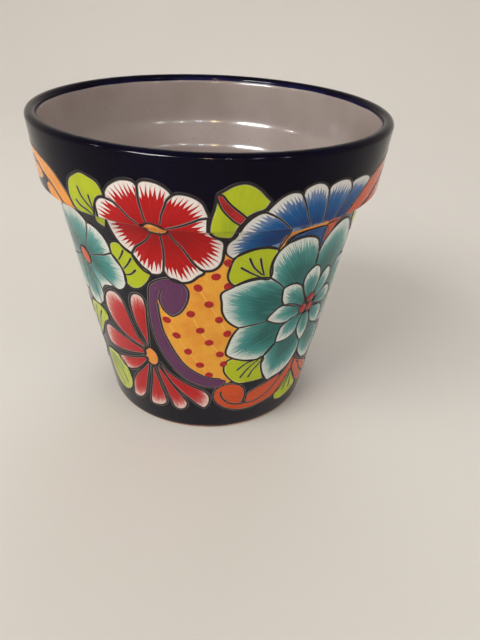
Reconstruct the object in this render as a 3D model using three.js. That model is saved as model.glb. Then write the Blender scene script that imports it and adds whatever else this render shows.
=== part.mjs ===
// Glazed ceramic planter: a flared round pot with a thick collar, open at the top, with one drain hole.
// Millimetres, +Z up. The origin is the centre of the foot, on the surface that the pot stands on.
// The pot is one fired clay body. Three glaze coats lie on it, each as its own solid.

import * as THREE from 'three';

// Driving dimensions of the pot, measured over the glaze and to the corners before they are rounded
const height = 270;
const rimRadius = 150.5;
const footRadius = 96.5;
const wallTopRadius = 134.3;
const collarHeight = 55.5;
const collarFlare = 5.9;
const wallThickness = 9.5;
const floorThickness = 12;
const drainRadius = 10;

// The inside follows the collar with a soft step: how far it reaches above and below the collar's underside
const insideStepRise = 10;
const insideStepDrop = 11;

// Roundings
const footRounding = 3;
const ledgeRounding = 4;
const collarRounding = 3.2;
const lipRounding = 4.4;
const insideStepRounding = 28;
const floorRounding = 16;

// The most of a face's length that one corner's rounding may take
const roundingShare = 0.49;

// Glaze coats
const glazeThickness = 0.6;
const coatClearance = 0.3;
const rimGlazeInside = 7;
const bareFoot = 1;
const bareDrainEdge = 2;

// Facets: flats around the pot, the turn of one flat of a rounding, and the fewest flats of a rounding
const sides = 60;
const roundingStep = THREE.MathUtils.degToRad(24);
const fewestSteps = 2;

// Finishes
const firedClay = { color: 0xb98468, roughness: 0.85, metalness: 0 };
const cobaltGround = { color: 0x07060f, roughness: 0.12, metalness: 0 };
const cobaltRim = { color: 0x06041c, roughness: 0.1, metalness: 0 };
const warmGreyLining = { color: 0x8f8478, roughness: 0.15, metalness: 0 };

const collarUnderside = height - collarHeight;
const wallSlope = (wallTopRadius - footRadius) / collarUnderside;
const collarSlope = collarFlare / collarHeight;

function wallRadius(z) {
  return footRadius + wallSlope * z;
}

function insideWallRadius(z) {
  return wallRadius(z) - wallThickness * Math.hypot(1, wallSlope);
}

function collarRadius(z) {
  return rimRadius - collarSlope * (height - z);
}

function insideCollarRadius(z) {
  return collarRadius(z) - wallThickness * Math.hypot(1, collarSlope);
}

const stepTop = collarUnderside + insideStepRise;
const stepBottom = collarUnderside - insideStepDrop;

// The section is a closed line of faces with the clay on its left, up the outside and down the inside.
// Each entry is a corner and the face that runs from it to the next one. A bare face carries no glaze.
const section = [
  { face: 'base', bare: true, r: drainRadius, z: 0, rounding: 0 },
  { face: 'wall', r: footRadius, z: 0, rounding: footRounding },
  { face: 'ledge', r: wallTopRadius, z: collarUnderside, rounding: ledgeRounding },
  { face: 'collar', r: collarRadius(collarUnderside), z: collarUnderside, rounding: collarRounding },
  { face: 'lip', r: rimRadius, z: height, rounding: lipRounding },
  { face: 'inside collar', r: insideCollarRadius(height), z: height, rounding: lipRounding },
  { face: 'inside step', r: insideCollarRadius(stepTop), z: stepTop, rounding: insideStepRounding },
  { face: 'inside wall', r: insideWallRadius(stepBottom), z: stepBottom, rounding: insideStepRounding },
  { face: 'floor', r: insideWallRadius(floorThickness), z: floorThickness, rounding: floorRounding },
  { face: 'drain', bare: true, r: drainRadius, z: floorThickness, rounding: 0 },
];

function faceNumber(name) {
  return section.findIndex((corner) => corner.face === name);
}

function cornerOf(face) {
  return section[(face + section.length) % section.length];
}

function isBare(face) {
  return cornerOf(face).bare === true;
}

// A face as a point and a direction, moved into the clay by depth unless it is bare.
function faceLine(face, depth) {
  const from = cornerOf(face);
  const to = cornerOf(face + 1);
  const length = Math.hypot(to.r - from.r, to.z - from.z);
  const dr = (to.r - from.r) / length;
  const dz = (to.z - from.z) / length;
  const inset = isBare(face) ? 0 : depth;
  return { r: from.r - dz * inset, z: from.z + dr * inset, dr, dz };
}

function crossing(a, b) {
  const t = ((b.r - a.r) * b.dz - (b.z - a.z) * b.dr) / (a.dr * b.dz - a.dz * b.dr);
  return { r: a.r + a.dr * t, z: a.z + a.dz * t };
}

// The turn from one face to the next, in radians, positive where the clay's corner stands out.
function turnAt(face) {
  const before = faceLine(face - 1, 0);
  const after = faceLine(face, 0);
  const across = before.dr * after.dz - before.dz * after.dr;
  const along = before.dr * after.dr + before.dz * after.dz;
  return Math.atan2(across, along);
}

function faceLength(face) {
  const from = cornerOf(face);
  const to = cornerOf(face + 1);
  return Math.hypot(to.r - from.r, to.z - from.z);
}

// A corner's rounding, kept so that it takes less than half of the shorter face beside it.
function sectionRounding(face) {
  const shorter = Math.min(faceLength(face - 1), faceLength(face));
  const most = (shorter * roundingShare) / Math.tan(Math.abs(turnAt(face)) / 2);
  return Math.min(cornerOf(face).rounding, most);
}

// The section's corner between two faces at a depth. A rounding stays concentric: it shrinks with depth
// where the clay's corner stands out, and grows where the corner is hollow.
function cornerAt(face, depth) {
  const before = faceLine(face - 1, depth);
  const after = faceLine(face, depth);
  const turn = turnAt(face);
  const besideBareFace = isBare(face) || isBare(face - 1);
  const change = besideBareFace ? 0 : Math.sign(turn) * depth;
  return { ...crossing(before, after), rounding: Math.max(sectionRounding(face) - change, 0), turn };
}

// Where a face, moved in by depth, meets a height or a radius.
function pointOnFace(face, depth, cut) {
  const line = faceLine(face, depth);
  const t = 'z' in cut ? (cut.z - line.z) / line.dz : (cut.r - line.r) / line.dr;
  return { r: line.r + line.dr * t, z: line.z + line.dz * t, rounding: 0 };
}

// How far a corner's rounding reaches along its faces: the radius times the tangent of half the turn.
function roundingReach(corner) {
  return corner.rounding * Math.tan(Math.abs(corner.turn) / 2);
}

// The points of a corner's arc, which starts on the face that comes from the previous corner.
function roundedCorner(previous, corner) {
  if (corner.rounding === 0) {
    return [[corner.r, corner.z]];
  }
  const inAngle = Math.atan2(corner.z - previous.z, corner.r - previous.r);
  const reach = roundingReach(corner);
  const radius = Math.sign(corner.turn) * corner.rounding;
  const centreR = corner.r - reach * Math.cos(inAngle) - radius * Math.sin(inAngle);
  const centreZ = corner.z - reach * Math.sin(inAngle) + radius * Math.cos(inAngle);
  const steps = Math.max(fewestSteps, Math.round(Math.abs(corner.turn) / roundingStep));
  const points = [];
  for (let i = 0; i <= steps; i += 1) {
    const heading = inAngle + (corner.turn * i) / steps;
    points.push([centreR + radius * Math.sin(heading), centreZ - radius * Math.cos(heading)]);
  }
  return points;
}

// A line through corners, each rounded. The first follows the last where the line is closed.
function roundedLine(corners) {
  return corners.flatMap((corner, i) => roundedCorner(corners.at(i - 1), corner));
}

// A coat's section: the pot's line from a cut on one face to a cut on another, and back at the coat's depth.
function coatSection(firstName, firstCut, lastName, lastCut) {
  const firstFace = faceNumber(firstName);
  const lastFace = faceNumber(lastName);
  const lineAt = (depth) => {
    const corners = [pointOnFace(firstFace, depth, firstCut)];
    for (let face = firstFace + 1; face <= lastFace; face += 1) {
      corners.push(cornerAt(face, depth));
    }
    corners.push(pointOnFace(lastFace, depth, lastCut));
    return roundedLine(corners);
  };
  return [...lineAt(0), ...lineAt(glazeThickness).reverse()];
}

// A closed section turned about the pot's axis.
function turnedMesh(name, line, finish) {
  const points = line.map(([r, z]) => new THREE.Vector2(r, z));
  points.push(points[0].clone());
  const geometry = new THREE.LatheGeometry(points, sides);
  geometry.rotateX(Math.PI / 2);
  const mesh = new THREE.Mesh(geometry, new THREE.MeshStandardMaterial(finish));
  mesh.name = name;
  return mesh;
}

// Fired clay: floor with its drain hole, wall, collar and lip
function clayBody() {
  const depth = glazeThickness + coatClearance;
  const corners = section.map((_, face) => cornerAt(face, depth));
  return turnedMesh('clay_body', roundedLine(corners), firedClay);
}

// Height at which the clay's side is straight, above the rounding of the foot
const foot = cornerAt(faceNumber('wall'), 0);
const footRoundingTop = roundingReach(foot) * Math.sin(foot.turn);
const seamRadius = (wallTopRadius + collarRadius(collarUnderside)) / 2;
const rimGlazeEdge = height - rimGlazeInside;

// Cobalt ground on the wall, from just above the foot to the middle of the ledge under the collar
function wallGlaze() {
  const line = coatSection(
    'wall', { z: footRoundingTop + bareFoot },
    'ledge', { r: seamRadius - coatClearance / 2 },
  );
  return turnedMesh('wall_glaze', line, cobaltGround);
}

// Cobalt rim: from the ledge up the collar, over the lip and a little way down the inside
function rimGlaze() {
  const line = coatSection(
    'ledge', { r: seamRadius + coatClearance / 2 },
    'inside collar', { z: rimGlazeEdge + coatClearance / 2 },
  );
  return turnedMesh('rim_glaze', line, cobaltRim);
}

// Warm grey lining: down the inside and over the floor, up to the drain hole
function insideGlaze() {
  const line = coatSection(
    'inside collar', { z: rimGlazeEdge - coatClearance / 2 },
    'floor', { r: drainRadius + bareDrainEdge },
  );
  return turnedMesh('inside_glaze', line, warmGreyLining);
}

const planter = new THREE.Group();
planter.add(clayBody(), wallGlaze(), rimGlaze(), insideGlaze());

export default planter;
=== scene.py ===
"""A glazed flower pot with a thick collar, painted by hand with flowers, leaves and scrolls.

The pot's coats are turned about its axis from one rounded section. The painting lies on them as thin raised
fields of enamel with outline strokes between them. Places on the outside are given by bearing, in degrees
from the front and growing to the right, and by drop, in mm down the outside from the top of the lip.
"""
import logging
import math
from dataclasses import dataclass, field, replace
from enum import Enum
from typing import Sequence

import bpy
import numpy as np
from mathutils import Matrix, Vector


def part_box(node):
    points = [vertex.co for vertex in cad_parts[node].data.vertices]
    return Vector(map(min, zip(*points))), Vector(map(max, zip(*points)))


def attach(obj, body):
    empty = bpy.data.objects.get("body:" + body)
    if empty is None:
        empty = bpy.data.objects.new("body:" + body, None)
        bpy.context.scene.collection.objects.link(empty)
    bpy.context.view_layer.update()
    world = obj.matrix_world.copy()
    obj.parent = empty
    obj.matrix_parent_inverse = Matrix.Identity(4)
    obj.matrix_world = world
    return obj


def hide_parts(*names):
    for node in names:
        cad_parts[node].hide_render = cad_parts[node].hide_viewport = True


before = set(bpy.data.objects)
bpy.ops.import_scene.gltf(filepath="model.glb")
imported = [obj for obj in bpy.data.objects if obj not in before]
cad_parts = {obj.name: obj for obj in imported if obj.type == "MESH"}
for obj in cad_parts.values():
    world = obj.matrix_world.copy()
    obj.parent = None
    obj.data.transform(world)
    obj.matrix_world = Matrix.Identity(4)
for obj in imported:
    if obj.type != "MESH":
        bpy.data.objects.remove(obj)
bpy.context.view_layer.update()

MM = 0.001

log = logging.getLogger("planter")

FULL_TURN = 2.0 * math.pi
WHITE = (1.0, 1.0, 1.0)

# Lengths in mm below which two places count as one, and how nearly parallel two lines may be to be crossed
TINY = 1e-6
PARALLEL = 1e-9

Point = tuple[float, float]
Points = Sequence[Point]
Span = tuple[float, float]
Place = tuple[float, float, float]
Colour = tuple[float, float, float]


class Slot(Enum):
    """Material slots of the record."""

    CLAY = "clay"
    WALL = "cobalt_wall"
    RIM = "cobalt_rim"
    LINING = "lining"
    LINES = "outline_pigment"
    RED = "red_enamel"
    TEAL = "teal_enamel"
    BLUE = "blue_enamel"
    LIME = "lime_enamel"
    AMBER = "amber_enamel"
    ORANGE = "orange_enamel"
    PURPLE = "purple_enamel"


def smooth_step(value: np.ndarray) -> np.ndarray:
    """0 below 0, 1 above 1 and 3v^2 - 2v^3 between them."""
    v = np.clip(value, 0.0, 1.0)
    return v * v * (3.0 - 2.0 * v)


def srgb(red: float, green: float, blue: float) -> tuple[float, float, float, float]:
    """A colour given as it looks on a screen, 0 to 255, as the shader's linear values."""
    shown = np.array((red, green, blue)) / 255.0
    linear = np.where(shown <= 0.04045, shown / 12.92, ((shown + 0.055) / 1.055) ** 2.4)
    return (*linear.tolist(), 1.0)


def wrapped(angle: np.ndarray) -> np.ndarray:
    """An angle brought to within half a turn of zero."""
    return (angle + math.pi) % FULL_TURN - math.pi


def once_round(count: int) -> np.ndarray:
    """Even angles once round, from zero."""
    return np.linspace(0.0, FULL_TURN, count, endpoint=False)


# Meshes


@dataclass
class Patch:
    """A closed surface under construction: points in metres, faces and values per point."""

    points: np.ndarray
    quads: np.ndarray
    triangles: np.ndarray
    values: dict[str, np.ndarray] = field(default_factory=dict)

    def outward(self) -> "Patch":
        """The patch with its faces turned out, by the sign of the volume that they enclose."""
        fan = np.concatenate((self.quads[:, (0, 1, 2)], self.quads[:, (0, 2, 3)], self.triangles))
        a, b, c = (self.points[fan[:, i]] for i in range(3))
        if np.einsum("ij,ij->", a, np.cross(b, c)) < 0.0:
            self.quads = self.quads[:, ::-1]
            self.triangles = self.triangles[:, ::-1]
        return self


def spanned(before: np.ndarray, after: np.ndarray) -> np.ndarray:
    """Quads between closed rings of point numbers, one ring a row, and the rings after them."""
    return np.stack((before, np.roll(before, -1, 1), np.roll(after, -1, 1), after), axis=-1).reshape(-1, 4)


def fanned(tip: int, ring: np.ndarray) -> np.ndarray:
    """Triangles from one point to each side of a closed ring of point numbers."""
    return np.stack((np.full(len(ring), tip), np.roll(ring, -1), ring), axis=-1)


def loft(rings: np.ndarray, values: dict[str, np.ndarray], wraps: bool) -> Patch:
    """Joins closed rings of points into one closed surface.

    Each quad spans two neighbouring points of two neighbouring rings. An unwrapped row of rings gets a fan
    over each end, to the mean of the end ring.

    Args:
        rings: Points in metres, shaped (rings, points of a ring, 3).
        values: Named values per point, shaped (rings, points of a ring).
        wraps: Whether the last ring joins the first.

    Returns:
        The closed patch.
    """
    rows, columns = rings.shape[:2]
    index = np.arange(rows * columns).reshape(rows, columns)
    quads = spanned(index, np.roll(index, -1, axis=0)) if wraps else spanned(index[:-1], index[1:])
    points = rings.reshape(-1, 3)
    flat = {name: value.reshape(-1) for name, value in values.items()}
    triangles = np.zeros((0, 3), int)
    if not wraps:
        ends = rings[[0, -1]].mean(axis=1)
        points = np.concatenate((points, ends))
        flat = {
            name: np.concatenate((flat[name], value[[0, -1]].mean(axis=1)))
            for name, value in values.items()
        }
        over_last = fanned(index.size + 1, index[-1])[:, (0, 2, 1)]
        triangles = np.concatenate((fanned(index.size, index[0]), over_last))
    return Patch(points, quads, triangles, flat).outward()


def joined(patches: Sequence[Patch]) -> Patch:
    """Several patches as one, with their faces renumbered."""
    starts = np.cumsum([0] + [len(p.points) for p in patches[:-1]])
    return Patch(
        np.concatenate([p.points for p in patches]),
        np.concatenate([p.quads + s for p, s in zip(patches, starts)]),
        np.concatenate([p.triangles + s for p, s in zip(patches, starts)]),
        {name: np.concatenate([p.values[name] for p in patches]) for name in patches[0].values},
    )


def make_piece(name: str, patch: Patch, material: bpy.types.Material) -> bpy.types.Object:
    """Puts a patch into a smooth-shaded mesh object at the origin.

    Args:
        name: The object's name.
        patch: Its points, faces and values.
        material: Its finish.

    Returns:
        The object, linked to the scene.
    """
    mesh = bpy.data.meshes.new(name)
    corners = np.concatenate((patch.quads.reshape(-1), patch.triangles.reshape(-1)))
    sizes = np.concatenate((np.full(len(patch.quads), 4), np.full(len(patch.triangles), 3)))
    mesh.vertices.add(len(patch.points))
    mesh.vertices.foreach_set("co", patch.points.astype(np.float32).reshape(-1))
    mesh.loops.add(len(corners))
    mesh.loops.foreach_set("vertex_index", corners.astype(np.int32))
    mesh.polygons.add(len(sizes))
    starts = np.concatenate(([0], np.cumsum(sizes)[:-1])).astype(np.int32)
    mesh.polygons.foreach_set("loop_start", starts)
    mesh.polygons.foreach_set("loop_total", sizes.astype(np.int32))
    mesh.polygons.foreach_set("use_smooth", np.ones(len(sizes), bool))
    for key, value in patch.values.items():
        layer = mesh.attributes.new(key, "FLOAT", "POINT")
        layer.data.foreach_set("value", value.astype(np.float32))
    mesh.update(calc_edges=True)
    mesh.validate()
    mesh.materials.append(material)
    piece = bpy.data.objects.new(name, mesh)
    bpy.context.scene.collection.objects.link(piece)
    return piece


# The pot's section and its uneven surface

# How far the lip's corner, before it is rounded, lies outside the CAD rim, and how far under its top
LIP_CORNER_OUTSIDE = 0.34
LIP_UNDER_TOP = 0.06


@dataclass(frozen=True)
class Corner:
    """A corner of the section, in mm, with its rounding."""

    name: str
    r: float
    z: float
    rounding: float


@dataclass(frozen=True)
class Section:
    """The closed line round the clay and its glaze, up the outside and down the inside, in mm."""

    rim_radius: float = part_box("rim_glaze")[1].x / MM + LIP_CORNER_OUTSIDE
    height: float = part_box("rim_glaze")[1].z / MM - LIP_UNDER_TOP
    collar_underside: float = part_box("rim_glaze")[0].z / MM
    foot_radius: float = 96.5
    wall_top_radius: float = 134.3
    collar_flare: float = 5.9
    wall: float = 9.5
    floor: float = 12.0
    drain_radius: float = 10.0
    step_rise: float = 10.0
    step_drop: float = 11.0

    def wall_radius(self, z: float) -> float:
        """The wall's outer radius at a height."""
        slope = (self.wall_top_radius - self.foot_radius) / self.collar_underside
        return self.foot_radius + slope * z

    def collar_radius(self, z: float) -> float:
        """The collar's outer radius at a height."""
        collar = self.height - self.collar_underside
        return self.rim_radius - self.collar_flare * (self.height - z) / collar

    def corners(self) -> list[Corner]:
        """The section's corners in order, from the drain hole's lower edge."""
        wall_slope = (self.wall_top_radius - self.foot_radius) / self.collar_underside
        collar_slope = self.collar_flare / (self.height - self.collar_underside)
        wall_inset = self.wall * math.hypot(1.0, wall_slope)
        collar_inset = self.wall * math.hypot(1.0, collar_slope)
        step_top = self.collar_underside + self.step_rise
        step_bottom = self.collar_underside - self.step_drop
        return [
            Corner("drain_below", self.drain_radius, 0.0, 0.8),
            Corner("foot", self.foot_radius, 0.0, 3.0),
            Corner("ledge", self.wall_top_radius, self.collar_underside, 4.0),
            Corner("collar", self.collar_radius(self.collar_underside), self.collar_underside, 3.2),
            Corner("lip", self.rim_radius, self.height, 4.4),
            Corner("lip_inside", self.collar_radius(self.height) - collar_inset, self.height, 4.4),
            Corner("step_top", self.collar_radius(step_top) - collar_inset, step_top, 24.0),
            Corner("step_bottom", self.wall_radius(step_bottom) - wall_inset, step_bottom, 24.0),
            Corner("floor", self.wall_radius(self.floor) - wall_inset, self.floor, 16.0),
            Corner("drain_above", self.drain_radius, self.floor, 0.8),
        ]


class PotLine:
    """The section as a dense line with its length, its outward normals and the place of each corner."""

    straight_step = 3.0
    turn_step = math.radians(7.0)
    fewest_turn_steps = 4
    rounding_share = 0.49
    closest = 0.05

    def __init__(self, section: Section) -> None:
        """Rounds each corner with an arc and measures the line.

        At a corner where the line turns by a, an arc of radius q starts q tan(a/2) before the corner and
        ends as far after it. The normal points to the right of the way along the line, out of the clay.

        Args:
            section: The corners.
        """
        corners = section.corners()
        places = np.array([(c.r, c.z) for c in corners])
        ahead = np.roll(places, -1, axis=0) - places
        lengths = np.hypot(*ahead.T)
        heading = np.unwrap(np.arctan2(ahead[:, 1], ahead[:, 0]))
        turns = wrapped(heading - np.roll(heading, 1))
        reach = np.abs(np.tan(turns / 2.0)) * np.array([c.rounding for c in corners])
        reach = np.minimum(reach, self.rounding_share * np.minimum(lengths, np.roll(lengths, 1)))
        pieces: list[np.ndarray] = []
        self.corner_at: dict[str, float] = {}
        self.start_of: dict[str, float] = {}
        self.end_of: dict[str, float] = {}
        run = 0.0
        for i, corner in enumerate(corners):
            radius = reach[i] / abs(math.tan(turns[i] / 2.0))
            before = heading[i] - turns[i]
            start = places[i] - reach[i] * np.array((math.cos(before), math.sin(before)))
            count = max(self.fewest_turn_steps, round(abs(turns[i]) / self.turn_step))
            swept = np.linspace(0.0, turns[i], count + 1)
            side = math.copysign(1.0, turns[i])
            centre = start + side * radius * np.array((-math.sin(before), math.cos(before)))
            normal = np.stack((np.sin(before + swept), -np.cos(before + swept)), axis=-1)
            arc = np.concatenate((centre + side * radius * normal, normal), axis=1)
            along = run + radius * np.abs(swept)
            pieces.append(np.column_stack((along, arc)))
            self.start_of[corner.name] = run
            self.corner_at[corner.name] = run + radius * abs(turns[i]) / 2.0
            self.end_of[corner.name] = along[-1]
            straight = lengths[i] - reach[i] - reach[(i + 1) % len(corners)]
            steps = max(1, math.ceil(straight / self.straight_step))
            t = np.arange(1, steps)[:, None] / steps
            way = np.array((math.cos(heading[i]), math.sin(heading[i])))
            inside = arc[-1, :2] + t * straight * way
            normals = np.broadcast_to(arc[-1, 2:], inside.shape)
            pieces.append(np.column_stack((along[-1] + t * straight, inside, normals)))
            run = along[-1] + straight
        table = np.concatenate(pieces)
        self.length = run
        closing = np.concatenate(([run], table[0, 1:]))
        self.table = np.vstack((table, closing))

    def at(self, run: np.ndarray) -> tuple[np.ndarray, np.ndarray, np.ndarray, np.ndarray]:
        """Radius, height and the normal's two parts at a length along the line."""
        within = np.mod(run, self.length)
        return tuple(np.interp(within, self.table[:, 0], self.table[:, i]) for i in range(1, 5))

    def between(self, start: float, end: float) -> np.ndarray:
        """Lengths along the line from start to end, close where the line bends."""
        runs = self.table[:, 0]
        inside = runs[(runs > start + self.closest) & (runs < end - self.closest)]
        return np.concatenate(([start], inside, [end]))


@dataclass(frozen=True)
class Surface:
    """The pot's outer skin: its line, turned about the axis, with the unevenness of hand work."""

    line: PotLine
    hollow: float = 0.24
    even_height: float = 25.0
    lip_offset: float = 0.7
    waves: tuple[tuple[float, float, float], ...] = ((2.0, 0.7, 60.0), (3.0, 2.1, -38.0), (7.0, 4.0, 24.0))

    def wobble(self, bearing: np.ndarray, z: np.ndarray) -> np.ndarray:
        """How far the skin lies under its true shape, in mm.

        Slow waves round the pot, which lean with the height, fade out towards the flat foot. Each has its
        number of crests, its phase and the height in mm over which it leans by a radian.
        """
        height = sum(np.sin(crests * bearing + phase + z / lean) for crests, phase, lean in self.waves)
        share = 0.5 + height / (2.0 * len(self.waves))
        return -self.hollow * share * smooth_step(z / self.even_height)

    def place(self, bearing: np.ndarray, run: np.ndarray, lift: np.ndarray) -> np.ndarray:
        """Points over the skin, in metres.

        Args:
            bearing: Angle about the axis in radians, 0 at the front.
            run: Length along the section's line in mm.
            lift: Height over the skin in mm.

        Returns:
            The points, with a last axis of three.
        """
        bearing, run, lift = np.broadcast_arrays(bearing, run, lift)
        r, z, out_r, out_z = self.line.at(run)
        over = lift + self.wobble(bearing, z)
        r = r + out_r * over
        z = z + out_z * over
        return np.stack((r * np.sin(bearing), -r * np.cos(bearing), z), axis=-1) * MM

    def run_of(self, drop: np.ndarray) -> np.ndarray:
        """Length along the line of a drop down the outside."""
        return self.line.end_of["lip"] - self.lip_offset - drop

    def radius_at(self, drop: np.ndarray) -> np.ndarray:
        """The pot's radius in mm at a drop down the outside."""
        return self.line.at(self.run_of(drop))[0]


# The turned coats


@dataclass(frozen=True)
class CoatEdge:
    """How a coat ends: the length over which it thins out, and how far its edge strays, in mm."""

    fade: float
    stray: float = 0.0
    phase: float = 0.0
    waves: tuple[tuple[float, float, float], ...] = ((1.0, 3.0, 1.0), (0.8, 8.0, 2.3), (0.5, 19.0, 1.7))

    def strayed(self, bearing: np.ndarray) -> np.ndarray:
        """The edge's uneven shift: waves with a strength, a number of crests and a share of the phase."""
        height = sum(
            strength * np.sin(crests * bearing + share * self.phase)
            for strength, crests, share in self.waves
        )
        return self.stray * height / sum(strength for strength, _, _ in self.waves)


@dataclass(frozen=True)
class TurnedCoat:
    """A coat of glaze from one length of the section's line to another."""

    name: str
    slot: Slot
    nodes: tuple[str, ...]
    start: float
    end: float
    start_edge: CoatEdge
    end_edge: CoatEdge
    thickness: float = 0.6
    proud: float = 0.0
    thin_fades: float = 3.0
    columns: int = 360

    def patch(self, surface: Surface) -> Patch:
        """The coat as one ring of section carried round the pot.

        Its outer line lies on the skin and sinks to the coat's thickness over the fade at each edge, as
        the square root of the way, so that the edge is round. Its inner line lies under it. How thin it
        looks fades out over a few times that length.

        Args:
            surface: The skin that it lies on.

        Returns:
            The closed coat, with how thin it is at each point.
        """
        bearing = once_round(self.columns)[:, None]
        runs = surface.line.between(self.start, self.end)
        share = (runs - self.start) / (self.end - self.start)
        first = self.start + self.start_edge.strayed(bearing)
        last = self.end + self.end_edge.strayed(bearing)
        along = first + (last - first) * share
        from_edge = np.minimum((along - first) / self.start_edge.fade, (last - along) / self.end_edge.fade)
        fullness = np.sqrt(smooth_step(from_edge))
        lift = -self.thickness * (1.0 - fullness) + self.proud * fullness
        outer = surface.place(bearing, along, lift)
        inner = surface.place(bearing, along, np.full_like(along, -self.thickness))
        rings = np.concatenate((outer, inner[:, ::-1]), axis=1)
        thin = 1.0 - smooth_step(from_edge / self.thin_fades)
        return loft(rings, {"thin": np.concatenate((thin, thin[:, ::-1]), axis=1)}, wraps=True)

    def build(self, surface: Surface, material: bpy.types.Material) -> bpy.types.Object:
        """Makes the coat, in place of its CAD nodes."""
        piece = make_piece(self.name, self.patch(surface), material)
        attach(piece, "root")
        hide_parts(*self.nodes)
        return piece


@dataclass(frozen=True)
class ClayBody:
    """The fired clay, sunk under the coats and bare at the foot, the base and the drain hole."""

    bare_from: float
    bare_to: float
    depth: float = 0.62
    fade: float = 2.5
    columns: int = 240

    def build(self, surface: Surface, material: bpy.types.Material) -> bpy.types.Object:
        """Turns the whole section, with the clay's surface sunk where a coat covers it."""
        bearing = once_round(self.columns)[:, None]
        runs = surface.line.between(0.0, surface.line.length)[:-1][None, :]
        covered = np.minimum(runs - self.bare_from, self.bare_to - runs)
        lift = -self.depth * smooth_step(covered / self.fade)
        rings = surface.place(bearing, runs, lift)
        patch = loft(rings, {"thin": np.zeros(rings.shape[:2])}, wraps=True)
        piece = make_piece("fired_clay_body", patch, material)
        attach(piece, "root")
        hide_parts("clay_body")
        return piece


# The painting's lines and areas

# The radius in mm at which the flat chart has true widths, and the steps between two points of an outline
CHART_RADIUS = 140.0
CHART_MM_PER_DEGREE = math.radians(CHART_RADIUS)
SAMPLES = 8

# The drops between which the skin bends sharply, and the mesh's step away from there and on it, in mm
LEDGE_DROPS = (46.0, 76.0)
CELL = 2.1
FINE_CELL = 0.95

# How far paint reaches under the skin, and how much higher what is painted over other paint lies, in mm
SUNK = 0.1
LEVEL = 0.22

# Bounds on an area's mesh, and how much closer its rings lie at the edge
LEAST_ROUND = 12
LEAST_RINGS = 4
CROWDING = 1.6
FINE_CROWDING = 1.15
GRID = 41

# Steps across a band, and the places across a stroke's section from edge to edge and back under it
BAND_STEPS = 10
LEAST_FINE_BAND_STEPS = 8
STROKE_SECTION = (-1.0, -0.85, -0.7, -0.5, -0.25, 0.0, 0.25, 0.5, 0.7, 0.85, 1.0, 1.0, -1.0)

# Shares of a stroke: its height where it has narrowed to nothing, how much of its half width lies outside
# the enamel that it borders, and the square of how wide its very tip is
LOW_END = 0.35
OUTSIDE_SHARE = 0.55
BLUNTNESS = 0.02


def chart(points: Points) -> np.ndarray:
    """Points given by bearing and drop, as mm on a flat chart of the outside at the chart's radius."""
    return np.asarray(points, float) * (CHART_MM_PER_DEGREE, 1.0)


def smooth_line(points: Points, closed: bool = False) -> np.ndarray:
    """A smooth line through given points. A point given twice in a row is a sharp corner.

    Between neighbours it is a cubic Hermite curve. The direction at a point is that of the chords on its
    two sides, each weighed by the other's length.

    Args:
        points: Bearings and drops.
        closed: Whether the last point joins the first.

    Returns:
        A dense line on the chart. A closed one doesn't repeat its first point.
    """
    p = chart(points)
    doubled = np.all(np.isclose(p, np.roll(p, -1, axis=0)), axis=1)
    doubled[-1] = doubled[-1] and closed
    sharp = np.roll(doubled, 1)[~doubled]
    p = p[~doubled]
    if closed:
        shift = -int(np.argmax(sharp))
        p, sharp = np.roll(p, shift, axis=0), np.roll(sharp, shift)
        p, sharp = np.vstack((p, p[:1])), np.append(sharp, sharp[0])
    chord = np.diff(p, axis=0)
    length = np.hypot(*chord.T)[:, None]
    way = chord / length
    between = (way[:-1] * length[1:] + way[1:] * length[:-1]) / (length[:-1] + length[1:])
    leave = np.vstack((way[:1], between))
    arrive = np.vstack((between, way[-1:]))
    if closed and not sharp[0]:
        seam = (way[-1] * length[0] + way[0] * length[-1]) / (length[0] + length[-1])
        leave[0] = arrive[-1] = seam
    inner = sharp[1:-1]
    leave[1:][inner] = way[1:][inner]
    arrive[:-1][inner] = way[:-1][inner]
    t = np.linspace(0.0, 1.0, SAMPLES, endpoint=False)[None, :, None]
    a, b = p[:-1, None], p[1:, None]
    out, into = (leave * length)[:, None], (arrive * length)[:, None]
    curve = (
        a * (2 * t**3 - 3 * t**2 + 1)
        + out * (t**3 - 2 * t**2 + t)
        + b * (3 * t**2 - 2 * t**3)
        + into * (t**3 - t**2)
    ).reshape(-1, 2)
    return curve if closed else np.vstack((curve, p[-1:]))


def run_along(line: np.ndarray) -> np.ndarray:
    """The length along a line at each of its points."""
    return np.concatenate(([0.0], np.cumsum(np.hypot(*np.diff(line, axis=0).T))))


def respaced(line: np.ndarray, step: float, closed: bool, least: int = 5) -> np.ndarray:
    """A line's points at an even spacing of about step, measured along it."""
    whole = np.vstack((line, line[:1])) if closed else line
    run = run_along(whole)
    count = max(least, math.ceil(run[-1] / step))
    wanted = np.linspace(0.0, run[-1], count + 1)
    wanted = wanted[:-1] if closed else wanted
    return np.stack([np.interp(wanted, run, whole[:, i]) for i in range(2)], axis=-1)


def cross(a: np.ndarray, b: np.ndarray) -> np.ndarray:
    """The flat cross product of vectors with a last axis of two."""
    return a[..., 0] * b[..., 1] - a[..., 1] * b[..., 0]


def is_clockwise(line: np.ndarray) -> bool:
    """Whether a line goes clockwise round what it encloses, as seen from outside the pot."""
    return bool(cross(line, np.roll(line, -1, axis=0)).sum() > 0.0)


def unit(vectors: np.ndarray) -> np.ndarray:
    """The vectors brought to a length of one."""
    return vectors / np.maximum(np.hypot(*vectors.T), TINY)[:, None]


def aside(line: np.ndarray, by: float, closed: bool = False) -> np.ndarray:
    """A line on the chart moved by a distance to the right of its way, as seen from outside the pot."""
    ahead = np.gradient(line, axis=0)
    if closed:
        ahead = np.roll(line, -1, axis=0) - np.roll(line, 1, axis=0)
    ahead = unit(ahead)
    return line + by * np.stack((-ahead[:, 1], ahead[:, 0]), axis=-1)


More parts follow.
